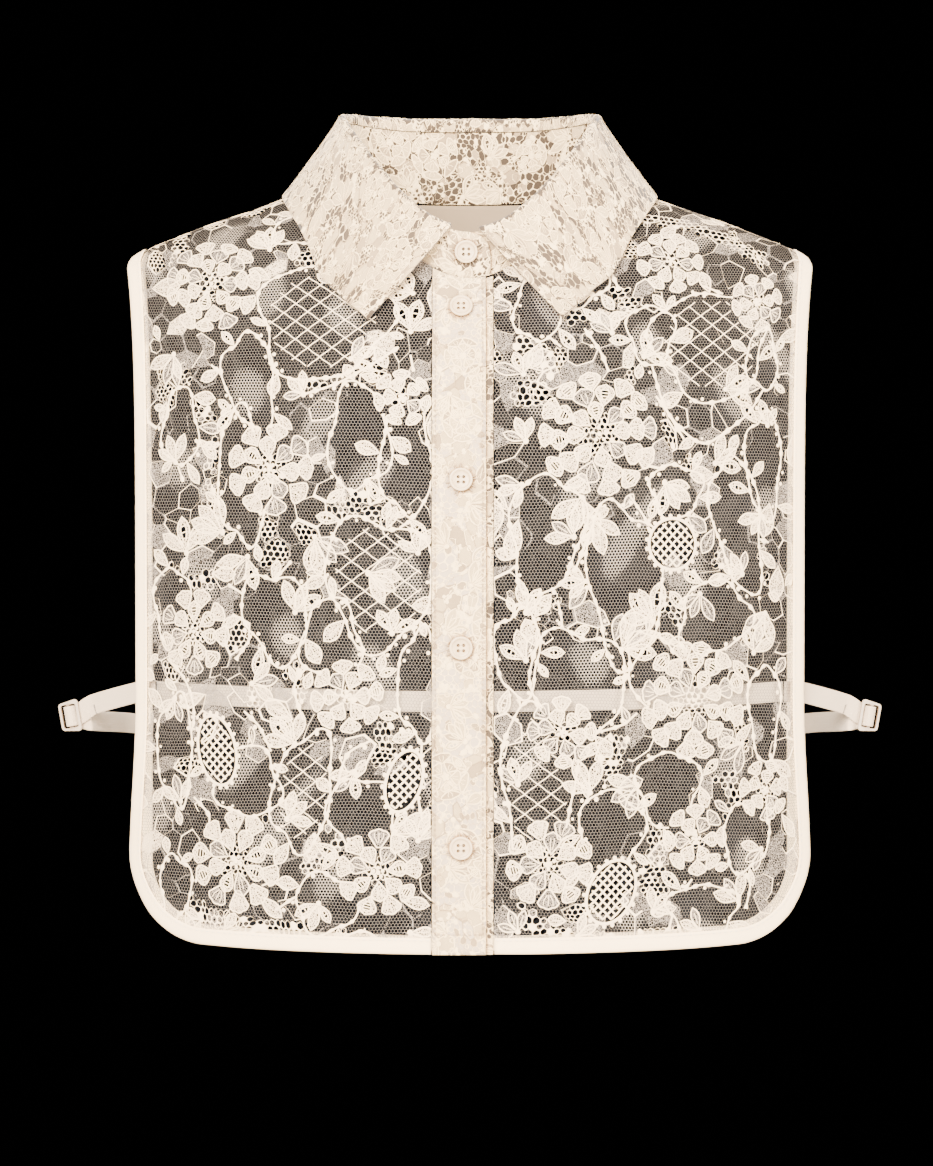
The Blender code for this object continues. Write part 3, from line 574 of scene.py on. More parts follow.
    def pebble(self, outline, pitch=3.4, jitter=0.26, blobs=0.08, gauze=0.08, lift=0.08, hole=(0.72, 0.92),
               netted=0.25, closed=False, filled=None, cut=0.2):
        """Uneven holes with thick threads between, inside an outline; some holes keep their net.

        CLOSED also works over ground that is kept open; FILLED is called for each hole's outline.
        """
        low = outline.min(axis=0) - 1.5 * pitch
        high = outline.max(axis=0) + 1.5 * pitch
        count = np.ceil((high - low) / (pitch, pitch * ROW_RISE)).astype(int) + 1
        _, centres = staggered(low, count[0], count[1], pitch)
        x, y = centres[..., 0], centres[..., 1]
        drift = np.stack([np.sin(x * 0.17 + y * 0.09) + np.sin(y * 0.13), np.sin(y * 0.19 - x * 0.11)], -1)
        centres = centres + drift * 0.3 * pitch + self.dice.uniform(-jitter, jitter, centres.shape) * pitch
        kept = in_outline(centres[..., 0], centres[..., 1], outline)
        spots_flat = centres.reshape(-1, 2)
        index = self.cell(spots_flat)
        kept &= (self.free(spots_flat) & (closed | ~self.open[index[:, 0], index[:, 1]])).reshape(kept.shape)
        even = ((1, 0), (0, 1), (-1, 1), (-1, 0), (-1, -1), (0, -1))
        odd = ((1, 0), (1, 1), (0, 1), (-1, 0), (0, -1), (1, -1))
        done = []
        for a, b in zip(*np.nonzero(kept)):
            if not (0 < a < count[0] - 1 and 0 < b < count[1] - 1):
                continue
            middle = centres[a, b]
            near = np.array([centres[a + s, b + t] for s, t in (odd if b % 2 else even)])
            corners = (middle + near + np.roll(near, -1, axis=0)) / 3.0
            roll = self.chance.random()
            if filled is None and not blobs <= roll < blobs + netted:
                done.append(corners)
            if roll < blobs:
                self.fan(corners, CORD, lift + 0.02, 0.35, False)
                continue
            inset = middle + (corners - middle) * self.chance.uniform(*hole)
            before = mix(inset, np.roll(inset, 1, axis=0), cut)
            after = mix(inset, np.roll(inset, -1, axis=0), cut)
            rim = np.stack([before, after], 1).reshape(12, 2)
            faces = []
            for k in range(6):
                e = (k + 1) % 6
                faces += [(k, 7 + 2 * k, 6 + 2 * k), (k, e, 6 + 2 * e, 7 + 2 * k)]
            lifts = np.concatenate([np.full(6, lift + 0.18), np.full(12, lift)])
            shade = CORD if filled is None or (3 * a + 5 * b) % 7 < 3 else GAUZE
            self.add(np.vstack([corners, rim]), lifts, faces, shade)
            if filled is not None:
                filled(rim, middle)
            elif roll > 1.0 - gauze:
                self.fan(rim, GAUZE, lift, 0.0, False)
        for corners in done:
            self.cover(corners)

    def cells(self, outline, pitch, shares, thread):
        """Large uneven cells in a thread frame; SHARES of net, half filling, clothwork, leaf, small holes."""
        marks = np.cumsum(shares)

        def fill(rim, middle):
            roll = self.chance.random() * marks[-1]
            if roll < marks[0]:
                return
            if roll < marks[2]:
                self.fan(rim, GAUZE if roll < marks[1] else DENSE, 0.05, 0.05)
            elif roll < marks[3]:
                foot = rim[self.chance.randrange(12)]
                ahead = middle - foot
                length = 1.85 * float(np.linalg.norm(ahead))
                angle = math.atan2(-ahead[0], ahead[1])
                self.petal(foot, angle, length, length * self.chance.uniform(0.4, 0.62), DENSE, 0.3, 0.1, 1)
            else:
                self.pebble(rim, 2.9, 0.22, 0.04, 0.0, hole=(0.72, 0.9), netted=0.0, closed=True)

        hole = (thread - 0.04, thread + 0.04)
        self.pebble(outline, pitch, 0.46, 0.0, 0.0, 0.12, hole, 1.0, filled=fill, cut=0.07)

    def band(self, stops, width, **rules):
        """A pebbled strip along a line."""
        line = smooth_line(stops, 3.0)
        aside = aside_of(line, False) * width / 2.0
        self.pebble(np.vstack([line + aside, (line - aside)[::-1]]), **rules)

    def lattice(self, outline, wide=13.5, tall=10.0, width=0.55, lift=0.07):
        """Slanting threads that cross in diamonds over the net."""
        low, high = outline.min(axis=0), outline.max(axis=0)
        reach = float(np.linalg.norm(high - low))
        for side in (1.0, -1.0):
            ahead = unit(np.array([wide, side * tall]))
            across = np.array([-ahead[1], ahead[0]])
            gap = wide * tall / math.hypot(wide, tall)
            for k in range(-int(reach / gap), int(reach / gap) + 1):
                run = np.arange(-reach, reach, 1.6)
                drift = 0.12 * np.sin(run * 0.9 + k)
                line = (low + high) / 2.0 + run[:, None] * ahead + (k * gap + drift)[:, None] * across
                keep = in_outline(line[:, 0], line[:, 1], outline) & self.free(line)
                for first, last in stretches(keep):
                    self.ribbon(line[first:last], width, lift + 0.03 * side)

    def medallion(self, at, across, up, turn=0.0):
        """An oval of square mesh in a beaded frame."""
        frame_line = turned(oval((0.0, 0.0), across, up, 28), turn, at)
        inner = turned(oval((0.0, 0.0), across - 1.2, up - 1.2, 28), turn, at)
        self.lattice(inner, 4.6, 4.6, 0.95, 0.10)
        self.cover(frame_line)
        self.cover(frame_line, self.solid)
        self.ribbon(frame_line, 1.5, 0.18, closed=True)
        beads = int((across + up) * 3.1416 / 4.2)
        for point in turned(oval((0.0, 0.0), across + 1.3, up + 1.3, beads), turn, at):
            self.dot(point, 1.15, 0.14)

    def net(self, pitch, half_width, thick_share=1.3):
        """Six-sided net wherever the ground is still open."""
        size = self.high - self.low
        columns = int(size[0] / pitch) + 2
        rows = int(size[1] / (pitch * ROW_RISE)) + 2
        j, feet = staggered(self.low, columns, rows, pitch)
        tops = feet + (0.0, pitch / math.sqrt(3.0))

        def drifted(places):
            x, y = places[..., 0], places[..., 1]
            return places + 0.35 * np.stack([np.sin(y * 0.11 + x * 0.03), np.sin(x * 0.13 - y * 0.05)], -1)

        def strand_half(places):
            x, y = places[..., 0], places[..., 1]
            patch = np.sin(x * 0.085 + 1.3 * np.sin(y * 0.041)) * np.sin(y * 0.067 + 1.7 * np.sin(x * 0.036))
            return half_width * (1.0 + thick_share * smooth_step((patch - 0.40) / 0.6))

        feet, tops = drifted(feet), drifted(tops)

        def corners(places, turns):
            turns = np.radians(turns)
            out = strand_half(places)[..., None, None] * 1.1547
            return (places[..., None, :] + out * np.stack([np.cos(turns), np.sin(turns)], -1)).reshape(-1, 2)

        points = np.vstack([corners(feet, [30.0, 150.0, 270.0]), corners(tops, [210.0, 330.0, 90.0])])
        number = np.arange(columns * rows).reshape(columns, rows)
        base = columns * rows * 3
        down = number[:, :-1]
        lower_left = np.where(j[:, 1:] % 2 == 1, down, np.roll(down, 1, axis=0))
        lower_right = np.where(j[:, 1:] % 2 == 1, np.roll(down, -1, axis=0), down)
        centre_feet, centre_tops = feet.reshape(-1, 2), tops.reshape(-1, 2)
        used_feet = np.zeros(len(centre_feet), bool)
        used_tops = np.zeros(len(centre_tops), bool)
        quads = []
        for starts, ends, (a, b, c, d) in (
            (number, number, (0, 1, 1, 0)), (number[:, 1:], lower_left, (1, 2, 2, 1)),
            (number[:, 1:], lower_right, (2, 0, 0, 2)),
        ):
            starts, ends = starts.ravel(), ends.ravel()
            middles = (centre_feet[starts] + centre_tops[ends]) / 2.0
            near = np.linalg.norm(centre_feet[starts] - centre_tops[ends], axis=1) < pitch
            keep = near & self.free(middles)
            starts, ends = starts[keep], ends[keep]
            used_feet[starts] = True
            used_tops[ends] = True
            far = base + ends * 3
            quads.append(np.stack([starts * 3 + a, far + c, far + d, starts * 3 + b], 1))
        faces = [tuple(quad) for quad in np.vstack(quads).tolist()]
        for first, used in ((0, used_feet), (base, used_tops)):
            faces += [(first + n * 3, first + n * 3 + 1, first + n * 3 + 2) for n in np.flatnonzero(used)]
        self.add(points, 0.0, faces, THREAD)
        first = points[[face[0] for face in faces]]
        soft = strand_half(first) / half_width - 1.0 + self.dice.uniform(-0.2, 0.2, len(faces)) * thick_share
        self.kinds[-len(faces):] = np.where(soft > 0.38 * thick_share, PALE, THREAD).tolist()


# --- the lace of the fronts: places are front-view millimetres, x and z ------------------

LEFT_LACE = {
    # x, z, radius, petals, rings, turn, lobed
    "flowers": (
        (-133, -57, 29.0, 11, 3, 0.2, True), (-101, -154, 24.0, 9, 2, 0.5, False),
        (-62, -268, 19.0, 8, 2, 0.1, False), (-140, -236, 22.0, 9, 2, 0.4, True),
        (-46, -356, 22.0, 9, 2, 0.0, True), (-118, -352, 26.0, 10, 2, 0.7, True),
        (-34, -118, 15.0, 7, 2, 0.9, False),
    ),
    # x, z, half width, half height, turn
    "medallions": (
        (-128, -296, 11.0, 18.0, 0.25), (-33, -310, 9.0, 16.0, -0.3),
    ),
    # x, z, half width, half height, turn, crossed with threads
    "windows": (
        (-76, -78, 25, 23, -0.2, True), (-112, -108, 10, 19, 0.2), (-56, -138, 11, 20), (-32, -146, 9, 24),
        (-116, -158, 9, 26, 0.1), (-46, -210, 19, 24, 0.2, True), (-70, -240, 11, 15), (-152, -222, 8, 14),
        (-98, -228, 12, 17, 0.4), (-112, -312, 13, 13), (-54, -328, 12, 15, 0.3), (-26, -262, 7, 20),
        (-84, -316, 11, 22, -0.2, True), (-150, -296, 8, 20), (-148, -132, 8, 15), (-72, -372, 12, 11),
        (-86, -28, 12, 9, 0.2), (-150, -366, 7, 12),
    ),
    # x, z, angle, size, leaves
    "sprigs": (
        (-103, -40, 0.3, 15, 4), (-82, -22, -0.6, 13), (-152, -94, 2.7, 15), (-60, -98, -1.2, 13),
        (-30, -84, -0.3, 17), (-29, -64, 1.1, 13), (-125, -186, 1.0, 18, 4), (-78, -188, 3.6, 19, 4),
        (-112, -198, 2.6, 17), (-51, -206, -1.9, 16, 4), (-150, -150, 0.4, 15), (-144, -196, 0.2, 16),
        (-88, -226, -0.4, 15), (-39, -236, -0.2, 14), (-110, -262, -1.5, 16), (-88, -292, 0.6, 18, 4),
        (-58, -306, 2.4, 15), (-147, -322, 0.3, 14), (-92, -330, -0.9, 14), (-76, -372, 2.9, 13),
        (-136, -382, 1.9, 12), (-30, -386, -2.4, 11), (-26, -196, 0.2, 12), (-47, -42, -0.8, 13),
        (-150, -270, 2.8, 12), (-84, -116, 0.9, 12), (-26, -340, -0.3, 12), (-70, -60, 0.2, 12),
    ),
    # width, then the stops
    "bands": (
        (9, -148, -100, -144, -118, -133, -128, -128, -142, -132, -156),
        (10, -132, -160, -130, -176, -126, -188), (10, -86, -110, -74, -108, -64, -101),
        (9, -48, -102, -38, -128, -33, -150, -39, -164, -60, -168), (10, -40, -176, -58, -178, -68, -170),
        (9, -80, -204, -66, -210, -56, -222, -58, -238), (9, -154, -206, -142, -212, -128, -208),
        (10, -112, -226, -104, -240, -92, -250, -84, -268), (10, -44, -282, -40, -294),
        (10, -104, -300, -108, -316, -100, -330), (9, -70, -330, -62, -338, -72, -350, -84, -352),
        (10, -150, -372, -120, -384, -88, -386, -62, -388), (9, -152, -48, -142, -24, -120, -18, -96, -10),
        (9, -90, -48, -76, -40, -66, -26), (8, -30, -252, -28, -274, -30, -288),
    ),
    # stops
    "vines": (
        (-104, -78, -92, -72, -78, -66, -70, -58), (-112, -92, -108, -112, -104, -126),
        (-100, -84, -90, -92, -86, -100, -84, -112), (-84, -116, -66, -110, -48, -100, -36, -92),
        (-62, -116, -57, -134, -54, -150, -50, -172), (-118, -96, -100, -90, -92, -82),
        (-132, -100, -120, -112, -118, -128, -112, -138), (-150, -120, -152, -140, -146, -160),
        (-122, -160, -126, -176), (-50, -172, -36, -164, -28, -152), (-70, -186, -48, -190, -30, -180),
        (-90, -200, -100, -214, -96, -232), (-40, -214, -30, -228, -26, -246),
        (-122, -212, -112, -220, -110, -236, -118, -250), (-76, -248, -88, -262, -84, -280),
        (-154, -250, -144, -262, -140, -280, -146, -300), (-114, -276, -106, -284, -100, -296),
        (-50, -290, -62, -298, -66, -318, -58, -332), (-88, -306, -80, -322, -84, -340),
        (-140, -320, -132, -330, -136, -340), (-26, -318, -24, -330), (-98, -376, -84, -368, -70, -374),
        (-154, -352, -148, -366), (-56, -14, -58, -32, -52, -46), (-30, -96, -27, -112),
        (-36, -398, -52, -386, -66, -390), (-24, -290, -25, -306), (-30, -134, -26, -146),
    ),
}

RIGHT_LACE = {
    # x, z, radius, petals, rings, turn, lobed
    "flowers": (
        (65, -136, 32.0, 12, 3, 0.1, True), (103, -46, 20.0, 9, 2, 0.5, False),
        (113, -270, 30.0, 12, 3, 0.3, True), (114, -340, 18.0, 8, 2, 0.0, False),
        (148, -66, 17.0, 8, 2, 0.2, False), (45, -36, 15.0, 7, 2, 0.6, False),
        (46, -286, 18.0, 8, 2, 0.8, True), (40, -352, 23.0, 9, 2, 0.3, True),
        (150, -316, 16.0, 7, 2, 0.5, True),
    ),
    # x, z, half width, half height, turn
    "medallions": (
        (102, -191, 13.0, 13.0, 0.0), (71, -366, 12.0, 17.0, -0.5),
    ),
    # x, z, half width, half height, turn, crossed with threads
    "windows": (
        (124, -88, 24, 22, 0.2, True), (92, -84, 9, 12), (78, -210, 14, 30, 0.1), (38, -186, 13, 22, -0.1),
        (54, -262, 17, 21, 0.2), (34, -312, 13, 30, 0.0, True), (124, -228, 15, 13, 0.3),
        (136, -180, 10, 26, 0.2), (150, -150, 8, 20), (92, -254, 10, 14, 0.3), (150, -276, 7, 18),
        (100, -314, 12, 14), (70, -336, 12, 16, -0.3), (140, -340, 10, 12), (24, -246, 8, 16),
        (54, -56, 11, 12, 0.3), (118, -376, 14, 10), (150, -96, 7, 12), (34, -72, 8, 14),
        (104, -164, 10, 10),
    ),
    # x, z, angle, size, leaves
    "sprigs": (
        (56, -168, 2.9, 18), (62, -178, -2.8, 17), (98, -160, -2.4, 15, 4), (124, -150, -1.0, 15),
        (52, -188, 0.9, 14), (27, -106, 0.5, 14), (28, -140, 0.4, 13), (26, -162, 2.0, 13),
        (88, -96, -0.9, 15), (72, -84, 0.4, 13), (130, -112, -1.2, 16), (92, -230, 0.6, 18, 4),
        (76, -244, -1.0, 19, 4), (116, -216, 2.8, 14), (138, -206, 0.5, 13), (58, -210, 1.7, 13),
        (150, -226, 2.7, 14), (144, -246, -0.3, 14), (28, -250, 0.3, 15), (28, -226, -0.5, 14),
        (60, -316, 0.4, 16), (84, -312, 2.0, 15), (138, -292, 2.2, 14), (92, -376, -0.6, 13),
        (136, -372, 0.6, 14), (148, -346, 2.0, 12), (24, -312, 0.2, 12), (26, -56, 0.2, 13),
        (66, -20, -0.6, 12), (132, -24, 0.7, 12), (24, -386, 0.4, 11), (62, -64, 1.2, 13),
        (152, -130, 0.2, 12), (148, -176, 2.6, 13), (116, -386, 1.2, 11), (54, -388, -1.0, 11),
    ),
    # width, then the stops
    "bands": (
        (12, 24, -90, 34, -96, 44, -104), (11, 22, -120, 32, -112, 36, -122),
        (10, 30, -172, 44, -166, 52, -170), (10, 40, -196, 46, -208, 60, -212, 62, -204),
        (12, 106, -150, 116, -158, 126, -158, 132, -146), (9, 124, -176, 130, -188, 126, -204),
        (10, 138, -186, 146, -196, 150, -212), (10, 24, -214, 34, -222, 44, -218),
        (10, 136, -222, 140, -236, 150, -240), (10, 40, -250, 30, -262, 28, -276),
        (11, 76, -288, 70, -302, 76, -316), (9, 28, -300, 36, -314, 34, -328),
        (10, 126, -306, 134, -318, 130, -330), (9, 92, -330, 94, -350, 88, -362),
        (9, 24, -376, 46, -388, 84, -390, 126, -386), (9, 86, -22, 114, -26, 136, -34, 154, -44),
        (10, 34, -60, 46, -66, 54, -80), (9, 74, -60, 82, -74, 82, -86), (9, 96, -216, 104, -226, 114, -230),
        (8, 140, -82, 150, -94, 154, -110),
    ),
    # stops
    "vines": (
        (92, -96, 104, -90, 112, -78, 122, -74), (94, -116, 106, -132, 118, -140, 130, -134),
        (130, -134, 142, -124, 150, -112), (92, -100, 98, -120, 108, -138), (62, -180, 56, -196, 52, -206),
        (80, -166, 88, -178, 90, -186), (88, -204, 82, -216, 80, -230), (112, -204, 122, -216, 130, -230),
        (66, -212, 74, -224, 80, -238), (24, -190, 34, -200, 36, -212), (44, -220, 46, -234, 42, -248),
        (128, -166, 140, -170, 152, -160), (130, -176, 142, -186, 152, -190), (56, -252, 48, -262, 44, -272),
        (142, -264, 150, -276, 154, -292), (62, -286, 76, -282, 84, -276), (56, -328, 66, -338, 62, -350),
        (100, -306, 96, -318, 98, -328), (28, -80, 36, -84, 46, -92), (58, -82, 66, -94, 70, -104),
        (120, -58, 130, -62), (126, -90, 120, -104, 126, -118), (24, -268, 28, -284),
        (112, -360, 104, -372, 100, -386), (134, -352, 142, -362, 140, -376), (20, -340, 24, -352),
        (80, -34, 72, -48, 76, -62),
    ),
}
WINDOW_SCALE = (1.42, 1.36)
FRONT_CELLS = (11.5, (0.58, 0.26, 0.02, 0.07, 0.07), 0.93)
FRONT_NET = (1.72, 0.090)


def front_lace(panel, low_x, high_x, seed, plan):
    """One front: its flowers and medallions, open windows, sprays, strips, stems, cells and net."""
    low, high = (low_x, -12.0), (high_x, 425.0)
    work = Work(low, high, seed)

    def spots(*run):
        return np.array([panel.to_flat(x * 0.001, z * 0.001) for x, z in zip(run[::2], run[1::2])]) * MM

    for x, z, *rest in plan["flowers"]:
        work.flower(spots(x, z)[0], *rest)
    for x, z, *rest in plan["medallions"]:
        work.medallion(spots(x, z)[0], *rest)
    for x, z, across, up, *rest in plan["windows"]:
        work.window(spots(x, z)[0], WINDOW_SCALE[0] * across, WINDOW_SCALE[1] * up, *rest)
    for x, z, *rest in plan["sprigs"]:
        work.sprig(spots(x, z)[0], *rest)
    for width, *stops in plan["bands"]:
        work.band(spots(*stops), width)
    for stops in plan["vines"]:
        work.vine(spots(*stops))
    work.cells(box(low, high), *FRONT_CELLS)
    work.net(*FRONT_NET)
    return work


# --- objects -----------------------------------------------------------------------------

UV_SCALE = 100.0


def in_scene(name, data):
    thing = bpy.data.objects.new(name, data)
    bpy.context.scene.collection.objects.link(thing)
    return thing


def new_object(name, points, faces, materials, kinds=None, places=None):
    """A smooth mesh object; PLACES are its UV numbers, one pair for each point."""
    mesh = bpy.data.meshes.new(name)
    mesh.from_pydata(np.asarray(points).tolist(), [], faces)
    for material in materials:
        mesh.materials.append(material)
    if kinds is not None:
        mesh.polygons.foreach_set("material_index", np.asarray(kinds, np.int32))
    if places is not None:
        corners = np.empty(len(mesh.loops), np.int32)
        mesh.loops.foreach_get("vertex_index", corners)
        layer = mesh.uv_layers.new(name="cut")
        layer.data.foreach_set("uv", np.asarray(places, float)[corners].ravel())
    mesh.shade_smooth()
    mesh.update()
    return in_scene(name, mesh)


def skin_faces(stations, around, start=0):
    """Quads of a skin through STATIONS closed loops of AROUND points each."""
    faces = []
    for i in range(stations - 1):
        a, b = start + i * around, start + (i + 1) * around
        for k in range(around):
            e = (k + 1) % around
            faces.append((a + k, a + e, b + e, b + k))
    return faces


def lace_object(name, work, form, kinds, materials):
    """The chosen kinds of a work's faces, laid on a form."""
    points = np.vstack(work.points)
    inside = form.inside(points[:, :2] * 0.001)
    chosen = []
    numbers = []
    for face, kind in zip(work.faces, work.kinds):
        if kind in kinds:
            good = [inside[i] for i in face]
            if all(good) or (any(good) and kind not in (THREAD, PALE)):
                chosen.append(face)
                numbers.append(kinds.index(kind))
    used = np.unique(np.fromiter((i for face in chosen for i in face), int))
    index = np.zeros(len(points), int)
    index[used] = np.arange(len(used))
    turn = (lambda face: face) if form.faces_viewer else (lambda face: face[::-1])
    faces = [turn(tuple(index[list(face)].tolist())) for face in chosen]
    placed = form.lie(points[used, :2] * 0.001, points[used, 2] * 0.001)
    return new_object(name, placed, faces, [materials[k] for k in kinds], numbers, points[used, :2] * 0.1)


# --- finishes ----------------------------------------------------------------------------

def add_node(tree, kind, settings=None, **inputs):
    """A node with its sockets set, or linked where a socket is given, in rows of six."""
    node = tree.nodes.new(kind)
    row, column = divmod(len(tree.nodes), 6)
    node.location = (column * 220.0, row * -280.0)
    for key, value in (settings or {}).items():
        setattr(node, key, value)
    for key, value in inputs.items():
        fill_socket(tree, node.inputs[key.replace("_", " ")], value)
    return node


def fill_socket(tree, socket, value):
    if isinstance(value, bpy.types.NodeSocket):
        tree.links.new(value, socket)
    elif socket.type == "RGBA" and len(value) == 3:
        socket.default_value = (*value, 1.0)
    else:
        socket.default_value = value


def maths(tree, operation, *values):
    node = add_node(tree, "ShaderNodeMath", {"operation": operation})
    for socket, value in zip(node.inputs, values):
        fill_socket(tree, socket, value)
    return node.outputs[0]


def mixed(tree, share, first, second, way="MIX"):
    """Two colours, blended."""
    node = add_node(tree, "ShaderNodeMixRGB", {"blend_type": way}, Fac=share, Color1=first, Color2=second)
    return node.outputs["Color"]


def noise(tree, place, scale, detail):
    return add_node(tree, "ShaderNodeTexNoise", Vector=place, Scale=scale, Detail=detail).outputs


def painted_contact_shade(tree, colour, distance, tint):
    """COLOUR, darkened by TINT where another surface is near: a painted contact shade."""
    near = add_node(tree, "ShaderNodeAmbientOcclusion", {"samples": 6}, Distance=distance)
    closed = maths(tree, "SUBTRACT", 1.0, near.outputs["AO"])
    return mixed(tree, maths(tree, "MULTIPLY", closed, 2.6), colour, tint, "MULTIPLY")


def new_group(name, kind, sockets):
    """A node group with its ends; SOCKETS are (name, direction, kind of value, default)."""
    group = bpy.data.node_groups.new(name, kind)
    for label, direction, value_kind, value in sockets:
        kind = "NodeSocket" + value_kind
        socket = group.interface.new_socket(name=label, in_out=direction, socket_type=kind)
        if value is not None:
            socket.default_value = value
    return group, group.nodes.new("NodeGroupInput"), group.nodes.new("NodeGroupOutput")


def new_material(name):
    material = bpy.data.materials.new(name)
    material.use_nodes = True
    tree = material.node_tree
    return material, tree, tree.nodes["Principled BSDF"]


def build_yarn_group():
    """Cotton yarn laid side by side: its colour, roughness and height; the colour is partly random warmth and
    partly painted shade, deeper where the yarn lies low.
    """
    group, enter, leave = new_group("cotton_yarn", "ShaderNodeTree", (
        ("Place", "INPUT", "Vector", None), ("Scale", "INPUT", "Float", 1.0),
        ("Light", "INPUT", "Color", (0.870, 0.800, 0.700, 1.0)),
        ("Deep", "INPUT", "Color", (0.760, 0.665, 0.545, 1.0)),
        ("Colour", "OUTPUT", "Color", None), ("Roughness", "OUTPUT", "Float", None),
        ("Height", "OUTPUT", "Float", None),
    ))
    place, scale = enter.outputs["Place"], enter.outputs["Scale"]
    warm, fuzz, bent = (noise(group, place, *rule) for rule in ((0.55, 3.0), (26.0, 2.0), (3.0, 1.0)))
    moved = mixed(group, 0.12, place, bent["Color"], "ADD")
    wave = add_node(group, "ShaderNodeTexWave", {"bands_direction": "DIAGONAL"},
                    Vector=moved, Scale=scale, Distortion=1.2).outputs["Fac"]
    depth = maths(group, "MULTIPLY_ADD", wave, 0.45, maths(group, "MULTIPLY", fuzz["Fac"], 0.5))
    # partly painted shade: the colour follows the yarn's height, so the hollows between yarns take the Deep
    # colour
    shade = maths(group, "MULTIPLY_ADD", warm["Fac"], 0.55, maths(group, "MULTIPLY", depth, 0.5))
    colour = mixed(group, shade, enter.outputs["Deep"], enter.outputs["Light"])
    fill_socket(group, leave.inputs["Colour"], colour)
    fill_socket(group, leave.inputs["Roughness"], maths(group, "MULTIPLY_ADD", fuzz["Fac"], 0.22, 0.66))
    fill_socket(group, leave.inputs["Height"], depth)
    return group


YARN = build_yarn_group()
# tan of the painted contact shade
CONTACT_SHADE_TINT = (0.42, 0.31, 0.225)


def cloth_material(name, light, deep, scale, bump, cover=None, sheen=0.25, inside=None, contact=None):
    """Yarn-built cloth on its cut's own places; COVER leaves fine gaps, INSIDE multiplies its inner face by a
    painted shade, CONTACT paints shade where another surface is near.
    """
    material, tree, shader = new_material(name)
    shader.inputs["Specular IOR Level"].default_value = 0.3 if sheen else 0.08
    shader.inputs["Sheen Weight"].default_value = sheen
    shader.inputs["Sheen Roughness"].default_value = 0.5
    place = add_node(tree, "ShaderNodeUVMap", {"uv_map": "cut"}).outputs["UV"]
    made = add_node(tree, "ShaderNodeGroup", {"node_tree": YARN},
                    Place=place, Scale=scale, Light=light, Deep=deep).outputs
    colour = made["Colour"]
    # painted shade: faces seen from behind take their colour times INSIDE, standing in for the shade inside the
    # garment
    if inside is not None:
        way = add_node(tree, "ShaderNodeNewGeometry")
        colour = mixed(tree, way.outputs["Backfacing"], colour, inside, "MULTIPLY")
    # painted shade where another surface is near
    if contact is not None:
        colour = painted_contact_shade(tree, colour, contact, CONTACT_SHADE_TINT)
    tree.links.new(colour, shader.inputs["Base Color"])
    tree.links.new(made["Roughness"], shader.inputs["Roughness"])
    lumps = add_node(tree, "ShaderNodeBump", Strength=bump, Distance=0.0004, Height=made["Height"])
    tree.links.new(lumps.outputs["Normal"], shader.inputs["Normal"])
    if cover is not None:
        cells = add_node(tree, "ShaderNodeTexVoronoi", {"feature": "DISTANCE_TO_EDGE"},
                         Vector=place, Scale=cover[0])
        tree.links.new(maths(tree, "LESS_THAN", cells.outputs["Distance"], cover[1]), shader.inputs["Alpha"])
    return material


def resin_material(name, light, deep):
    """Milky resin: faint clouds in its own depth, a soft polish, and painted shade where other surfaces are
    near.
    """
    material, tree, shader = new_material(name)
    place = add_node(tree, "ShaderNodeTexCoord").outputs["Object"]
    colour = mixed(tree, noise(tree, place, 240.0, 2.0)["Fac"], deep, light)
    # painted shade on the button near the cloth and the thread
    colour = painted_contact_shade(tree, colour, 0.003, (0.38, 0.27, 0.18))
    tree.links.new(colour, shader.inputs["Base Color"])
    marks = noise(tree, place, 1500.0, 2.0)["Fac"]
    tree.links.new(maths(tree, "MULTIPLY_ADD", marks, 0.16, 0.24), shader.inputs["Roughness"])
    for label, value in (("Coat Weight", 0.1), ("Specular IOR Level", 0.25), ("Coat Roughness", 0.2)):
        shader.inputs[label].default_value = value
    return material


def plain_material(name, colour, roughness):
    material, tree, shader = new_material(name)
    fill_socket(tree, shader.inputs["Base Color"], colour)
    shader.inputs["Roughness"].default_value = roughness
    return material


# painted shade for the lace's inner faces, multiplied into their colour where a face is seen from behind
INSIDE_PAINTED_SHADE = (0.020, 0.024, 0.036)
LACE = {kind: cloth_material(*looks, sheen=0.0, inside=INSIDE_PAINTED_SHADE) for kind, looks in {
    # name, light, deep, scale, bump, cover
    THREAD: ("net thread", (0.160, 0.128, 0.102), (0.095, 0.077, 0.062), 9.0, 0.4),
    PALE: ("pale net thread", (0.34, 0.268, 0.20), (0.22, 0.173, 0.13), 9.0, 0.4),
    DENSE: ("clothwork", (0.84, 0.62, 0.385), (0.52, 0.375, 0.235), 6.0, 0.9, (9.0, 0.175)),
    CORD: ("outline cord", (0.97, 0.72, 0.435), (0.84, 0.61, 0.36), 8.0, 0.7),
    GAUZE: ("half filling", (0.30, 0.235, 0.18), (0.19, 0.148, 0.113), 6.0, 0.5, (9.5, 0.105)),
}.items()}
# the close lace gets a painted contact shade within 2 mm of other surfaces
LINED = {kind: cloth_material(*looks, contact=0.002) for kind, looks in {
    DENSE: ("close clothwork", (0.64, 0.44, 0.225), (0.40, 0.27, 0.13), 6.0, 0.9),
    CORD: ("close cord", (0.97, 0.69, 0.355), (0.80, 0.56, 0.28), 8.0, 0.8),
    GAUZE: ("close filling", (0.40, 0.265, 0.135), (0.23, 0.15, 0.078), 6.0, 0.6),
}.items()}
SATIN = cloth_material("label satin", (0.225, 0.155, 0.090), (0.185, 0.125, 0.07), 14.0, 0.25, sheen=0.1)
TAPE = cloth_material("binding cloth", (0.97, 0.705, 0.40), (0.86, 0.61, 0.34), 5.0, 0.5)
# painted shade: the lining under the close lace is far darker than the cream cloth, standing in for the shade
# in its holes
LINING = cloth_material("lining", (0.095, 0.056, 0.026), (0.036, 0.022, 0.012), 7.0, 0.4)
CREAM_LINING = cloth_material("cream lining", (0.55, 0.40, 0.26), (0.42, 0.30, 0.19), 7.0, 0.4)
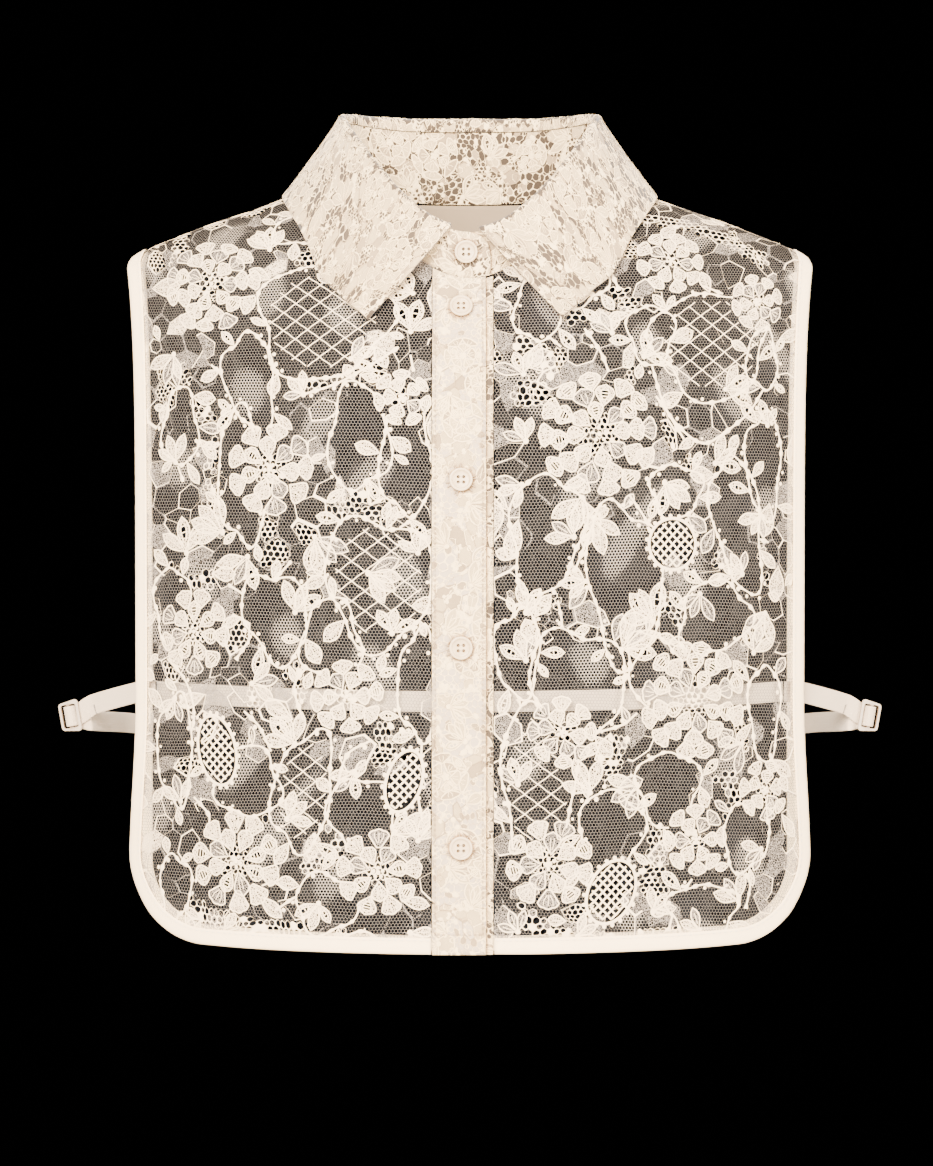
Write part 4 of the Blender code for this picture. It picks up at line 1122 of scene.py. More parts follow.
# painted shade: near-black lining on the collar stand's inner face, standing in for the shade inside the neck
SHADED_LINING = cloth_material("stand lining in painted shade", (0.085, 0.056, 0.034), (0.018, 0.013, 0.009), 7.0, 0.4,
                               sheen=0.0)
ELASTIC = cloth_material("elastic", (0.56, 0.42, 0.28), (0.45, 0.325, 0.21), 10.0, 0.5)
TAN_SEWING = cloth_material("placket thread", (0.42, 0.29, 0.165), (0.30, 0.20, 0.11), 12.0, 0.3)
SEWING = cloth_material("sewing thread", (0.80, 0.68, 0.53), (0.66, 0.54, 0.40), 12.0, 0.3)
RESIN = resin_material("button resin", (0.70, 0.50, 0.29), (0.50, 0.345, 0.19))
CLEAR_PLASTIC = resin_material("slider plastic", (0.42, 0.33, 0.24), (0.34, 0.26, 0.19))


# --- layouts by rule ---------------------------------------------------------------------

def seats(chance, low, high, step, first, rise, drift):
    """Places in staggered rows between two corners, each a little off its seat."""
    row = 0
    y = low[1] + step * first[1]
    while y < high[1]:
        x = low[0] + step * (first[0] + 0.5 * (row % 2))
        while x < high[0]:
            moved = np.array([chance.uniform(-drift, drift), chance.uniform(-0.2, 0.2)])
            yield np.array([x, y]) + moved * step
            x += step
        y += step * rise
        row += 1


def scattered_lace(work, low, high, step, size, seed, openness=0.35):
    """Flowers, sprays, stems and pebbled strips spread over a cut, with some ground left open."""
    chance = random.Random(seed)
    heads = [(at, chance.random()) for at in seats(chance, low, high, step, (0.3, 0.4), 0.82, 0.22)]
    for at, roll in heads:
        if roll > openness:
            radius = size * chance.uniform(0.75, 1.25)
            petals, rings = chance.choice((8, 9, 10, 11)), 3 if radius > 20 else 2
            work.flower(at, radius, petals, rings, chance.uniform(0, 1), roll > 0.6)
        elif roll < openness * 0.3:
            work.medallion(at, size * 0.5, size * 0.75, chance.uniform(-0.6, 0.6))
    for at, roll in heads:
        for k in range(3):
            angle = chance.uniform(0.0, math.tau)
            foot = at + heading(angle, size * chance.uniform(0.9, 1.25))
            if work.free(foot)[0]:
                work.sprig(foot, angle, size * 0.72, chance.choice((3, 4)))
    for (at, roll), (to, _) in zip(heads, heads[1:]):
        if np.linalg.norm(to - at) < step * 1.6:
            bend = (at + to) / 2.0 + (chance.uniform(-0.35, 0.35) * step, chance.uniform(-0.35, 0.35) * step)
            if chance.random() < 0.6:
                work.band([at, bend, to], 9.0)
            else:
                work.vine([at, bend, to])
        below = at + (chance.uniform(-0.5, 0.5) * step, -step * 0.85)
        bend = (at + below) / 2.0 + (chance.uniform(-0.3, 0.3) * step, 0.0)
        work.vine([at, bend, below])
    for at, roll in heads:
        for k in (-1.0, 1.0):
            beside = at + (k * step * 0.5, chance.uniform(0.25, 0.55) * step)
            work.window(beside, step * chance.uniform(0.25, 0.38), step * chance.uniform(0.28, 0.46),
                        chance.uniform(-0.4, 0.4), roll <= openness)


def back_lace():
    work = Work((-206.0, -22.0), (206.0, 425.0), 31)
    low, high = (-200.0, -15.0), (200.0, 420.0)
    scattered_lace(work, low, high, 86.0, 24.0, 7)
    work.cells(box(low, high), 19.0, (0.70, 0.18, 0.04, 0.08, 0.0), 0.93)
    work.net(4.2, 0.87)
    return work


def lined_lace(width, height, seed, step, size, pitch):
    """Close lace over a lining: large petals, cells of clothwork, and strips of small openings."""
    work = Work((-3.0, -3.0), (width + 3.0, height + 3.0), seed)
    chance = random.Random(seed)
    outline = box((-2.0, -2.0), (width + 2.0, height + 2.0))
    high = (width + step * 0.3, height + step * 0.3)
    for at in seats(chance, (0.0, 0.0), high, step, (0.2, 0.25), 0.8, 0.2):
        if chance.random() < 0.34:
            count, radius = chance.choice((6, 7, 8, 9)), size * chance.uniform(0.9, 1.5)
            work.flower(at, radius, count, 2, chance.uniform(0, 1), False, 1.0, False)
        else:
            work.sprig(at, chance.uniform(0.0, math.tau), size * 1.2, 4)
        for _ in range(3):
            side = at + heading(chance.uniform(0.0, math.tau), step * 0.42)
            far = side + heading(chance.uniform(0.0, math.tau), step * 0.7)
            stops = [side, (side + far) / 2.0 + (1.5, 1.5), far]
            work.band(stops, pitch * 2.6, pitch=pitch * chance.uniform(0.9, 1.5),
                      jitter=0.40, blobs=0.05, hole=(0.80, 0.99), gauze=0.10, netted=0.0)
    work.cells(outline, 7.5, (0.0, 0.20, 0.44, 0.14, 0.22), 0.91)
    work.pebble(outline, 2.5, 0.30, 0.45, 0.0, 0.06, (0.40, 0.80), 0.0)
    for points in work.points:
        points[:, 2] *= 0.6
    return work


# --- collar, plackets and label: their forms ---------------------------------------------

BAND_WALL = 0.0012
COLLAR_WALL = 0.0012
PLACKET_LIFT = 0.0004
PLACKET_TOP_DROP = 0.0015
BINDING_OUTSIDE = 0.0013
STAND_BACK_HEIGHT = 0.0385
STAND_FRONT_HEIGHT = 0.0235
STAND_INSET = 0.0014
STAND_TOP_LEAN = 0.0004
STAND_SEAT = 0.0008
STAND_LAP_SINK = 0.0022
STAND_LAP_EASE = 0.60
STAND_OVER_X = 0.0106
STAND_UNDER_X = 0.0150
STAND_END_ROUND = 0.013
ROLL_FRONT = 0.0020
ROLL_BACK = 0.0075
FOLD_RADIUS_FRONT = 0.0013
FOLD_RADIUS_BACK = 0.0026
LEAF_END_LEFT_X = 0.0096
LEAF_END_RIGHT_X = 0.0049
LEAF_BULGE = -0.0012
LEAF_POINT_SHIFT = 0.0048
LEAF_CLEAR = 0.0019
LEAF_EDGE = np.array([
    # share of the way from the back to the point, the edge in plan, and its height over the cloth
    (0.00, 0.0000, 0.0480, 0.0070),
    (0.25, 0.0680, 0.0370, 0.0040),
    (0.50, 0.0968, -0.0100, 0.0022),
    (0.75, 0.0785, -0.0612, 0.0024),
    (0.88, 0.0645, -0.0745, 0.0032),
    (1.00, 0.0513, -0.0815, 0.0042),
])
LABEL_HALF_WIDTH = 0.027
LABEL_HEIGHT = 0.018
UP = np.array([0.0, 0.0, 1.0])


def catmull(rows, share):
    """The columns of a table at SHARE (its first column), on a smooth curve through the rows."""
    rows = np.asarray(rows, float)
    at = rows[:, 0]
    share = np.asarray(share, float)
    i = np.clip(np.searchsorted(at, share, side="left") - 1, 0, len(rows) - 2)
    before, after = np.maximum(i - 1, 0), np.minimum(i + 2, len(rows) - 1)
    span = at[i + 1] - at[i]
    t = ((share - at[i]) / span)[..., None]
    slope_in = (rows[i + 1] - rows[before]) / (at[i + 1] - at[before])[..., None] * span[..., None]
    slope_out = (rows[after] - rows[i]) / (at[after] - at[i])[..., None] * span[..., None]
    return ((2 * t ** 3 - 3 * t ** 2 + 1) * rows[i] + (t ** 3 - 2 * t ** 2 + t) * slope_in
            + (3 * t ** 2 - 2 * t ** 3) * rows[i + 1] + (t ** 3 - t ** 2) * slope_out)[..., 1:]


def neck_depth(angle):
    return np.where(np.cos(angle) > 0.0, NECK_BACK, NECK_FRONT)


def neck_plan(angle, inset):
    x = (NECK_HALF_WIDTH - inset) * np.sin(angle)
    y = (neck_depth(angle) - inset) * np.cos(angle)
    return np.stack([x, y, np.zeros_like(x)], -1)


def neck_outward(angle):
    x, y = np.sin(angle) * neck_depth(angle), np.cos(angle) * NECK_HALF_WIDTH
    return unit(np.stack([x, y, 0.0 * angle], -1))


def either(x, y, function):
    """FUNCTION(x, front) for the front or the back, by the sign of y."""
    return np.where(y < 0.0, function(x, True), function(x, False))


def neck_height(angle):
    place = neck_plan(angle, 0.0)
    x, y = place[..., 0], place[..., 1]
    reach = np.where(y < 0.0, REACH[True], REACH[False])
    inside = np.maximum(0.0, 1.0 - (y / either(x, y, fullness)) ** 2)
    return either(x, y, crest) - reach * (1.0 - np.sqrt(inside))


def back_share(angle):
    return (1.0 + np.cos(angle)) / 2.0


def stand_height(angle):
    return mix(STAND_FRONT_HEIGHT, STAND_BACK_HEIGHT, back_share(angle))


def stand_at(angle, up):
    lap = smooth_step((angle - (math.pi - STAND_LAP_EASE)) / STAND_LAP_EASE)
    place = neck_plan(angle, STAND_INSET + STAND_TOP_LEAN * up + STAND_LAP_SINK * lap)
    place[..., 2] = neck_height(angle) - STAND_SEAT + stand_height(angle) * up
    return place


def stand_ends():
    return (-math.pi - math.asin(STAND_OVER_X / NECK_HALF_WIDTH),
            math.pi + math.asin(STAND_UNDER_X / NECK_HALF_WIDTH))


def end_rounding(angle):
    left, right = stand_ends()
    past = np.minimum(angle - left, right - angle) * NECK_HALF_WIDTH
    short = np.clip(1.0 - past / STAND_END_ROUND, 0.0, 1.0)
    return 1.0 - 0.55 * (1.0 - np.sqrt(1.0 - short * short))


def leaf_ends():
    top = NECK_HALF_WIDTH - STAND_INSET - STAND_TOP_LEAN
    return -math.pi + math.asin(LEAF_END_LEFT_X / top), math.pi - math.asin(LEAF_END_RIGHT_X / top)


def over_cloth(x, y, over):
    both = []
    for front in (True, False):
        turn = turn_at_depth(x, np.abs(y), front)
        both.append(cloth(x, turn, front) + cloth_normal(x, turn, front) * np.asarray(over)[..., None])
    return np.where((y < 0.0)[..., None], *both)


def clear_of_cloth(place):
    below = over_cloth(place[..., 0], place[..., 1], 0.0 * place[..., 0])
    normal = over_cloth(place[..., 0], place[..., 1], 0.0 * place[..., 0] + 1.0) - below
    height = ((place - below) * normal).sum(-1)
    return place + normal * np.maximum(0.0, LEAF_CLEAR - height)[..., None]


def leaf_rows(angles, fold_steps, fall_rows):
    """From the stand's top up over the fold and down to the leaf's outer edge."""
    left, right = leaf_ends()
    top = stand_at(angles, 1.0 + 0.0 * angles)
    outward = neck_outward(angles)
    share = np.where(angles > 0.0, angles / right, angles / left)
    x, y, over = np.moveaxis(catmull(LEAF_EDGE, np.clip(share, 0.0, 1.0)), -1, 0)
    x = np.where(angles < 0.0, -x, x - LEAF_POINT_SHIFT * smooth_step(share * 2.0 - 1.0))
    edge = over_cloth(x, y, over)
    radius = mix(FOLD_RADIUS_FRONT, FOLD_RADIUS_BACK, back_share(angles))[:, None]
    roll = mix(ROLL_FRONT, ROLL_BACK, back_share(angles) ** 1.2)[:, None]
    rows = [top + UP * 1.5 * SEAM_GAP, top + UP * np.maximum(roll - radius, 3.0 * SEAM_GAP)]
    middle = rows[-1] + outward * radius
    for i in range(1, fold_steps + 1):
        turn = math.pi * i / fold_steps
        rows.append(middle - outward * radius * math.cos(turn) + UP * radius * math.sin(turn))
    start = rows[-1]
    bend = (start + edge) / 2.0 + unit(outward + UP) * LEAF_BULGE
    for i in range(1, fall_rows + 1):
        t = i / fall_rows
        rows.append(clear_of_cloth(start * (1 - t) ** 2 + bend * 2 * t * (1 - t) + edge * t * t))
    return np.stack(rows)


class Grid:
    """A form given by rows of points; lays the flat places of its own cut on it.

    ACROSS runs along the rows, and UP is the share of the way from the first row to the last,
    times the grid's own height there, so the cut keeps its real size both ways.
    """

    faces_viewer = True

    def __init__(self, rows, base=None):
        self.rows = np.asarray(rows, float)
        count_up, count_across = self.rows.shape[:2]
        self.across = run_of(self.rows[count_up // 2 if base is None else base])
        rise = np.linalg.norm(np.diff(self.rows, axis=0), axis=2)
        self.rise = np.concatenate([np.zeros((1, count_across)), np.cumsum(rise, axis=0)])
        self.normal = unit(np.cross(np.gradient(self.rows, axis=1), np.gradient(self.rows, axis=0)))
        self.width = self.across[-1]
        self.height = self.rise[-1].max()

    def indices(self, flat):
        u = np.interp(flat[:, 0], self.across, np.arange(len(self.across)))
        i = np.clip(u.astype(int), 0, len(self.across) - 2)
        s = u - i
        top = mix(self.rise[:, i], self.rise[:, i + 1], s)
        v = np.zeros(len(flat))
        for r in range(len(self.rise) - 1):
            low, high = top[r], top[r + 1]
            share = np.clip((flat[:, 1] - low) / np.maximum(high - low, 1e-9), 0.0, 1.0)
            v = np.where(flat[:, 1] >= low, r + share, v)
        j = np.clip(v.astype(int), 0, len(self.rise) - 2)
        return i, s, j, v - j, top[-1]

    def inside(self, flat):
        top = self.indices(flat)[4]
        return (flat[:, 0] >= 0) & (flat[:, 0] <= self.width) & (flat[:, 1] >= 0) & (flat[:, 1] <= top)

    def lie(self, flat, lift):
        i, s, j, t, _ = self.indices(flat)
        s, t = s[:, None], t[:, None]

        def blend(table):
            low = mix(table[j, i], table[j, i + 1], s)
            high = mix(table[j + 1, i], table[j + 1, i + 1], s)
            return mix(low, high, t)

        return blend(self.rows) + unit(blend(self.normal)) * np.asarray(lift)[:, None]


def backing(name, rows, wall, outer, inner=None):
    """A closed cloth of two faces and a turned edge, from rows of its middle."""
    rows = np.asarray(rows, float)
    normal = unit(np.cross(np.gradient(rows, axis=1), np.gradient(rows, axis=0)))
    up, across = rows.shape[:2]
    number = np.arange(up * across).reshape(up, across)
    places = np.stack(np.meshgrid(np.arange(across), np.arange(up)), -1).reshape(-1, 2) * 0.3
    points = np.concatenate([(rows + side * normal * wall / 2).reshape(-1, 3) for side in (1.0, -1.0)])
    half = up * across
    faces = []
    for a in number[:-1, :-1].ravel().tolist():
        faces.append((a, a + 1, a + across + 1, a + across))
        faces.append((half + a, half + a + across, half + a + across + 1, half + a + 1))
    kinds = [0, 1] * (len(faces) // 2)
    rim = [*number[0], *number[1:, -1], *number[-1, -2::-1], *number[-2:0:-1, 0]]
    rim = [int(a) for a in rim]
    for a, b in zip(rim, rim[1:] + rim[:1]):
        faces.append((b, a, half + a, half + b))
    kinds += [0] * (len(faces) - len(kinds))
    return new_object(name, points, faces, [outer, inner or outer], kinds, np.tile(places, (2, 1)))


# --- bindings ----------------------------------------------------------------------------

BINDING_WIDTH = 0.0083
BINDING_DEEP = BINDING_WIDTH - BINDING_OUTSIDE
SEWN_OUTER = 0.00125


def edge_route(side):
    """The raw edge as (planned x, turn, front): front hem, corner, side, over the ridge, back."""
    start = (-PLACKET_LEFT_X if side < 0 else UNDER_RIGHT_X) + 2.0 * SEAM_GAP
    straight = TIP_HALF - CORNER_RADIUS
    corner = straight + CORNER_RADIUS * np.sin(np.linspace(0.0, QUARTER, 26))[1:]
    stops = []
    for front, first in ((True, start), (False, SEAM_GAP / 2.0)):
        hem = np.concatenate([np.linspace(first, straight, 58), corner])
        hem_stops = np.stack([hem, hem_turn(hem, front), np.full(len(hem), front)], 1)
        low = hem_turn(np.array([TIP_HALF]), front)[0]
        high = top_turn(np.array([TIP_HALF]), front)[0]
        turns = low + (high - low) * np.linspace(0.0, 1.0, 150)[1:] ** 0.8
        side_stops = np.stack([np.full(149, TIP_HALF), turns, np.full(149, front)], 1)
        half = np.concatenate([hem_stops, side_stops])
        stops.append(half if front else half[:-1][::-1])
    route = np.concatenate(stops)
    route[:, 0] *= side
    return route


def on_route(values, front, function):
    """FUNCTION(*values, front) for each stop of a route, front and back apart."""
    result = None
    for which in (True, False):
        mask = front == which
        part = function(*[value[mask] for value in values], which)
        if result is None:
            result = np.zeros((len(front),) + part.shape[1:])
        result[mask] = part
    return result


def moved_over_cloth(x, turn, front, direction, distance, lift):
    step_x, step_turn = 0.0005, 0.002
    across = on_route((x + step_x, turn), front, cloth) - on_route((x - step_x, turn), front, cloth)
    down = on_route((x, turn + step_turn), front, cloth) - on_route((x, turn), front, cloth)
    normal = np.cross(across, down)
    size = (normal * normal).sum(1)
    across_rate = (np.cross(direction, down) * normal).sum(1) / size
    down_rate = (np.cross(across, direction) * normal).sum(1) / size
    new_x = x + across_rate * 2.0 * step_x * distance
    new_turn = np.maximum(0.0, turn + down_rate * step_turn * distance)
    lifted = lift + on_route((new_x,), front, lap_offset)
    return (on_route((new_x, new_turn), front, cloth)
            + on_route((new_x, new_turn), front, cloth_normal) * lifted[:, None])


class EdgeRoute:
    """The bound edge of one side, and places beside it."""

    def __init__(self, side):
        self.side = side
        route = edge_route(side)
        self.front = route[:, 2] > 0.5
        self.turn = route[:, 1]
        self.x = on_route((route[:, 0], self.turn), self.front, shaped_x)
        lap = on_route((self.x,), self.front, lap_offset)
        self.points = on_route((self.x, self.turn), self.front, cloth)
        normal = on_route((self.x, self.turn), self.front, cloth_normal)
        self.points = self.points + normal * lap[:, None]
        along = unit(np.gradient(self.points, axis=0))
        self.inward = unit(np.cross(normal, along) * side)
        self.run = run_of(self.points)

    def beside(self, distance, lift):
        return moved_over_cloth(self.x, self.turn, self.front, self.inward, distance, lift)


def build_binding(name, edge, material):
    """A folded strip round the raw edge, a little full between fold and stitches."""
    outer, gap = SEWN_OUTER, SEWN_OUTER - 0.0005
    deep, far = BINDING_DEEP, -BINDING_OUTSIDE
    half = (
        # how far in from the raw edge, and how far out from the middle of the cloth
        (deep, gap), (deep, outer - 0.0004), (deep - 0.0005, outer - 0.0001), (deep - 0.0014, outer - 0.0003),
        (deep * 0.5, outer + 0.0001), (0.0006, outer), (far + 0.0005, outer - 0.0002),
        (far + 0.0001, outer - 0.0009),
    )
    section = list(half) + [(d, -l) for d, l in reversed(half)] + [(-SEAM_GAP, -gap), (-SEAM_GAP, gap)]
    wave = 0.00008 * np.sin(edge.run * 1000.0 * 0.83) * np.sin(edge.run * 1000.0 * 0.21)
    loops = np.stack([edge.beside(d, l + (wave if abs(l) > gap else 0.0)) for d, l in section], 1)
    stations, around = loops.shape[:2]
    faces = [(a, d, c, b) for a, b, c, d in skin_faces(stations, around)]
    last = (stations - 1) * around
    faces += [tuple(range(around)), tuple(range(last + around - 1, last - 1, -1))]
    if edge.side < 0:
        faces = [face[::-1] for face in faces]
    places = np.stack(np.broadcast_arrays(edge.run[:, None], run_of(np.array(section))), -1).reshape(-1, 2)
    return new_object(name, loops.reshape(-1, 3), faces, [material], None, places * UV_SCALE)


# --- stitches ----------------------------------------------------------------------------

def build_stitch_group():
    """Geometry nodes: one rounded stitch on each point, turned by the point's own rotation."""
    group, enter, leave = new_group("stitch_row", "GeometryNodeTree", (
        ("Geometry", "INPUT", "Geometry", None), ("Length", "INPUT", "Float", 0.0022),
        ("Width", "INPUT", "Float", 0.0004), ("Height", "INPUT", "Float", 0.00035),
        ("Thread", "INPUT", "Material", None), ("Geometry", "OUTPUT", "Geometry", None),
    ))
    given = enter.outputs
    ball = add_node(group, "GeometryNodeMeshIcoSphere", Radius=0.5, Subdivisions=1).outputs["Mesh"]
    size = add_node(group, "ShaderNodeCombineXYZ", X=given["Length"], Y=given["Width"], Z=given["Height"])
    shape = add_node(group, "GeometryNodeTransform", Geometry=ball, Scale=size.outputs["Vector"])
    turn = add_node(group, "GeometryNodeInputNamedAttribute", {"data_type": "FLOAT_VECTOR"}, Name="turn")
    rotation = add_node(group, "FunctionNodeEulerToRotation", Euler=turn.outputs["Attribute"])
    spread = add_node(group, "GeometryNodeInstanceOnPoints", Points=given["Geometry"],
                      Instance=shape.outputs["Geometry"], Rotation=rotation.outputs["Rotation"])
    real = add_node(group, "GeometryNodeRealizeInstances", Geometry=spread.outputs["Instances"])
    finish = add_node(group, "GeometryNodeSetMaterial", Geometry=real.outputs["Geometry"],
                      Material=given["Thread"])
    group.links.new(finish.outputs["Geometry"], leave.inputs["Geometry"])
    return group


STITCHES = build_stitch_group()


def settled(thing, matrix=Matrix()):
    """The evaluated shape of a thing as a plain mesh object, standing where MATRIX puts it."""
    bpy.context.view_layer.update()
    mesh = bpy.data.meshes.new_from_object(thing.evaluated_get(bpy.context.evaluated_depsgraph_get()))
    mesh.transform(matrix)
    name = thing.name
    bpy.data.objects.remove(thing)
    return in_scene(name, mesh)


def stitch_row(name, rows, pitch, material, length=0.0021, width=0.00042):
    """Stitches every PITCH along lines of points; ROWS are pairs of a line and its outward ways."""
    places = []
    turns = []
    for line, out in rows:
        run = run_of(line)
        at = np.arange(pitch / 2.0, run[-1], pitch)
        slope = np.gradient(line, run, axis=0)
        place, ahead, above = (np.stack([np.interp(at, run, column) for column in table.T], 1)
                               for table in (line, slope, out))
        for a, o in zip(ahead, above):
            a = Vector(a).normalized()
            o = (Vector(o) - a * Vector(o).dot(a)).normalized()
            turns.append(tuple(Matrix((a, o.cross(a), o)).transposed().to_euler()))
        places += place.tolist()
    mesh = bpy.data.meshes.new(name)
    mesh.from_pydata(places, [], [])
    layer = mesh.attributes.new("turn", "FLOAT_VECTOR", "POINT")
    layer.data.foreach_set("vector", np.array(turns, float).ravel())
    seed_thing = in_scene(name + "_seats", mesh)
    rule = seed_thing.modifiers.new("stitches", "NODES")
    rule.node_group = STITCHES
    values = {"Length": length, "Width": width, "Height": width * 0.8, "Thread": material}
    for item in STITCHES.interface.items_tree:
        if item.item_type == "SOCKET" and item.in_out == "INPUT" and item.name in values:
            rule[item.identifier] = values[item.name]
    made = settled(seed_thing)
    made.name = name
    made.data.shade_smooth()
    return made


# --- buttons, straps and sliders ---------------------------------------------------------

BUTTON_X = -0.0045
BUTTON_TOP_X = -0.0020
BUTTON_TOP_Z = -0.0425
BUTTON_HEIGHTS = (-0.0718, -0.1595, -0.2435, -0.3435)
BUTTON_RADIUS = 0.00585
BUTTON_OUTLINE = (
    # share of the radius, and height over the seat
    (0.0, 0.0), (0.72, 0.0), (0.93, 0.0005), (0.99, 0.0011), (1.0, 0.0016), (0.985, 0.0020), (0.94, 0.0022),
    (0.88, 0.0022), (0.82, 0.00212), (0.77, 0.0018), (0.72, 0.00152), (0.60, 0.00142), (0.0, 0.00138),
)
BUTTON_HOLE_RADIUS = 0.00082
BUTTON_HOLE_SPREAD = 0.00135
STRAP_WIDTH = 0.0104
STRAP_WALL = 0.0010
STRAP_INSIDE = 0.0035
STRAP_SIDE_Z = -0.2665
STRAP_SAG = 0.0040
STRAP_END_X = 0.1620
STRAP_BUTT_GAP = 0.0010
STRAP_BEND = 6.0
STRAP_BACK_Z = -0.2870
SLIDER_AT = np.array([-0.2077, -0.0265, -0.2802])
SLIDER_TILT = math.radians(10.0)
SLIDER_TURN = math.radians(18.0)
SLIDER_HALF_LENGTH = 0.0055
SLIDER_OUTER_HALF = 0.0072
SLIDER_INNER_HALF = 0.0083
SLIDER_HALF_WALL = 0.0008
SLOT_HALF_HEIGHT = 0.0060
SLOT_HALF_WIDTH = 0.0016
SLOT_CENTRE = 0.0024
STRAP_RUN = np.array([
    # round the middle bar: along the strap to the body, up the bar, and depth behind the bar
    (0.0140, 0.0040, 0.0012), (0.0090, 0.0024, 0.0019), (0.0055, 0.0006, 0.0021), (0.0034, 0.0000, 0.0016),
    (0.0023, 0.0000, 0.0000), (0.0014, 0.0000, -0.0014), (0.0000, 0.0000, -0.0019), (-0.0016, 0.0000, -0.0014),
    (-0.0023, 0.0000, 0.0000), (-0.0016, -0.0001, 0.0018), (0.0004, -0.0006, 0.0029), (0.0045, -0.0022, 0.0035),
    (0.0095, -0.0042, 0.0042),
])


def button_places():
    """Place and outward way of each button: one on the stand, four down the placket."""
    angle = np.array(-math.pi - math.asin(BUTTON_TOP_X / NECK_HALF_WIDTH))
    foot, top = stand_at(angle, 0.0), stand_at(angle, 1.0)
    up = (BUTTON_TOP_Z - foot[2]) / stand_height(angle)
    outward = unit(np.cross((1.0, 0.0, 0.0), top - foot))
    places = [(stand_at(angle, up) + outward * (COLLAR_WALL / 2.0 + SEAM_GAP), outward)]
    rise = PLACKET_LIFT + BAND_WALL / 2.0 + SEAM_GAP
    for z in BUTTON_HEIGHTS:
        x = np.array(BUTTON_X)
        turn = turn_at_height(x, z, True)
        normal = cloth_normal(x, turn, True)
        places.append((cloth(x, turn, True) + normal * rise, normal))
    return places


def facing(place, normal):
    normal = Vector(normal)
    side = Vector((0.0, 0.0, 1.0)).cross(normal).normalized()
    turn = Matrix((side, normal.cross(side), normal)).transposed().to_4x4()
    return Matrix.Translation(Vector(place)) @ turn


def moulded(thing, matrix, material, crease):
    """A settled thing of one material, smooth but for its creases."""
    made = settled(thing, matrix)
    made.data.materials.clear()
    made.data.materials.append(material)
    made.data.shade_smooth()
    made.data.set_sharp_from_angle(angle=math.radians(crease))
    return made


def build_button(name, place, normal, material):
    """A turned four-hole button with a raised rim and a shallow well."""
    mesh = bpy.data.meshes.new(name)
    mesh.from_pydata([(share * BUTTON_RADIUS, 0.0, height) for share, height in BUTTON_OUTLINE],
                     [(i, i + 1) for i in range(len(BUTTON_OUTLINE) - 1)], [])
    button = in_scene(name, mesh)
    turned_up = button.modifiers.new("turned", "SCREW")
    turned_up.axis = "Z"
    turned_up.steps = turned_up.render_steps = 44
    turned_up.use_merge_vertices = True
    turned_up.merge_threshold = 0.00002
    turned_up.use_normal_calculate = True
    shape = bmesh.new()
    for across in (-1, 1):
        for up in (-1, 1):
            at = (across * BUTTON_HOLE_SPREAD, up * BUTTON_HOLE_SPREAD, 0.001)
            bmesh.ops.create_cone(shape, cap_ends=True, segments=14, radius1=BUTTON_HOLE_RADIUS,
                                  radius2=BUTTON_HOLE_RADIUS, depth=0.006, matrix=Matrix.Translation(at))
    holes = bpy.data.meshes.new("holes")
    shape.to_mesh(holes)
    shape.free()
    cutter = in_scene("holes", holes)
    button.modifiers.new("holes", "BOOLEAN").object = cutter
    made = moulded(button, facing(place, normal), material, 40.0)
    bpy.data.objects.remove(cutter)
    return made


def tube(line, radius, sides, start, points, faces):
    """Adds a round thread along a line."""
    line = np.asarray(line, float)
    ahead = unit(np.gradient(line, axis=0))
    aside = unit(np.cross(ahead, ahead[:, [1, 2, 0]] + 0.01))
    above = np.cross(ahead, aside)
    around = np.arange(sides) * 2.0 * math.pi / sides
    c, s = np.cos(around)[None, :, None], np.sin(around)[None, :, None]
    points.append((line[:, None] + (aside[:, None] * c + above[:, None] * s) * radius).reshape(-1, 3))
    faces += skin_faces(len(line), sides, start)
    return start + len(line) * sides


def build_button_threads(name, places, material):
    """Sewing thread through the holes, and tan rays round each button: thin tubes that paint the shade of the
    cloth puckered round it.
    """
    points, faces, count = [], [], 0
    chance = random.Random(5)
    for place, normal in places:
        seat = facing(place, normal)
        lines = []
        for y in (-BUTTON_HOLE_SPREAD, BUTTON_HOLE_SPREAD):
            arch = [(x * BUTTON_HOLE_SPREAD, y, 0.0010 + 0.0004 * (1 - x * x))
                    for x in (-1.1, -0.6, 0, 0.6, 1.1)]
            lines.append((arch, 0.00012))
        # painted shade: radial tan tubes standing in for the shade of the cloth puckered round the button
        for k in range(15):
            turn = k * math.tau / 15 + chance.uniform(-0.16, 0.16)
            reach = BUTTON_RADIUS + chance.uniform(0.0004, 0.0026)
            stops = ((BUTTON_RADIUS * 0.8, 0.0), ((BUTTON_RADIUS + reach) / 2.0, 0.00012), (reach, -0.0003))
            lines.append(([(math.cos(turn) * d, math.sin(turn) * d, z) for d, z in stops], 0.00026))
        for line, radius in lines:
            placed = [tuple(seat @ Vector(p)) for p in line]
            count = tube(placed, radius, 5, count, points, faces)
    points = np.vstack(points)
    return new_object(name, points, faces, [material], None, points[:, [0, 2]] * UV_SCALE)


def inside_front(x, z):
    turn = turn_at_height(x, z, True)
    upward = cloth(x, turn - 0.02, True) - cloth(x, turn + 0.02, True)
    return cloth(x, turn, True) - cloth_normal(x, turn, True) * STRAP_INSIDE, unit(upward)


def slider_axes(side):
    """Along the strap to the body, up the bars, and away from the viewer."""
    flat = math.cos(SLIDER_TURN)
    along = Vector((math.cos(SLIDER_TILT) * flat, -math.sin(SLIDER_TURN), math.sin(SLIDER_TILT) * flat))
    bar = Vector((-math.sin(SLIDER_TILT), 0.0, math.cos(SLIDER_TILT)))
    bar = (bar - along * bar.dot(along)).normalized()
    along.x *= side
    bar.x *= side
    behind = along.cross(bar)
    if behind.y < 0.0:
        behind = -behind
    return np.array(along), np.array(bar), np.array(behind)


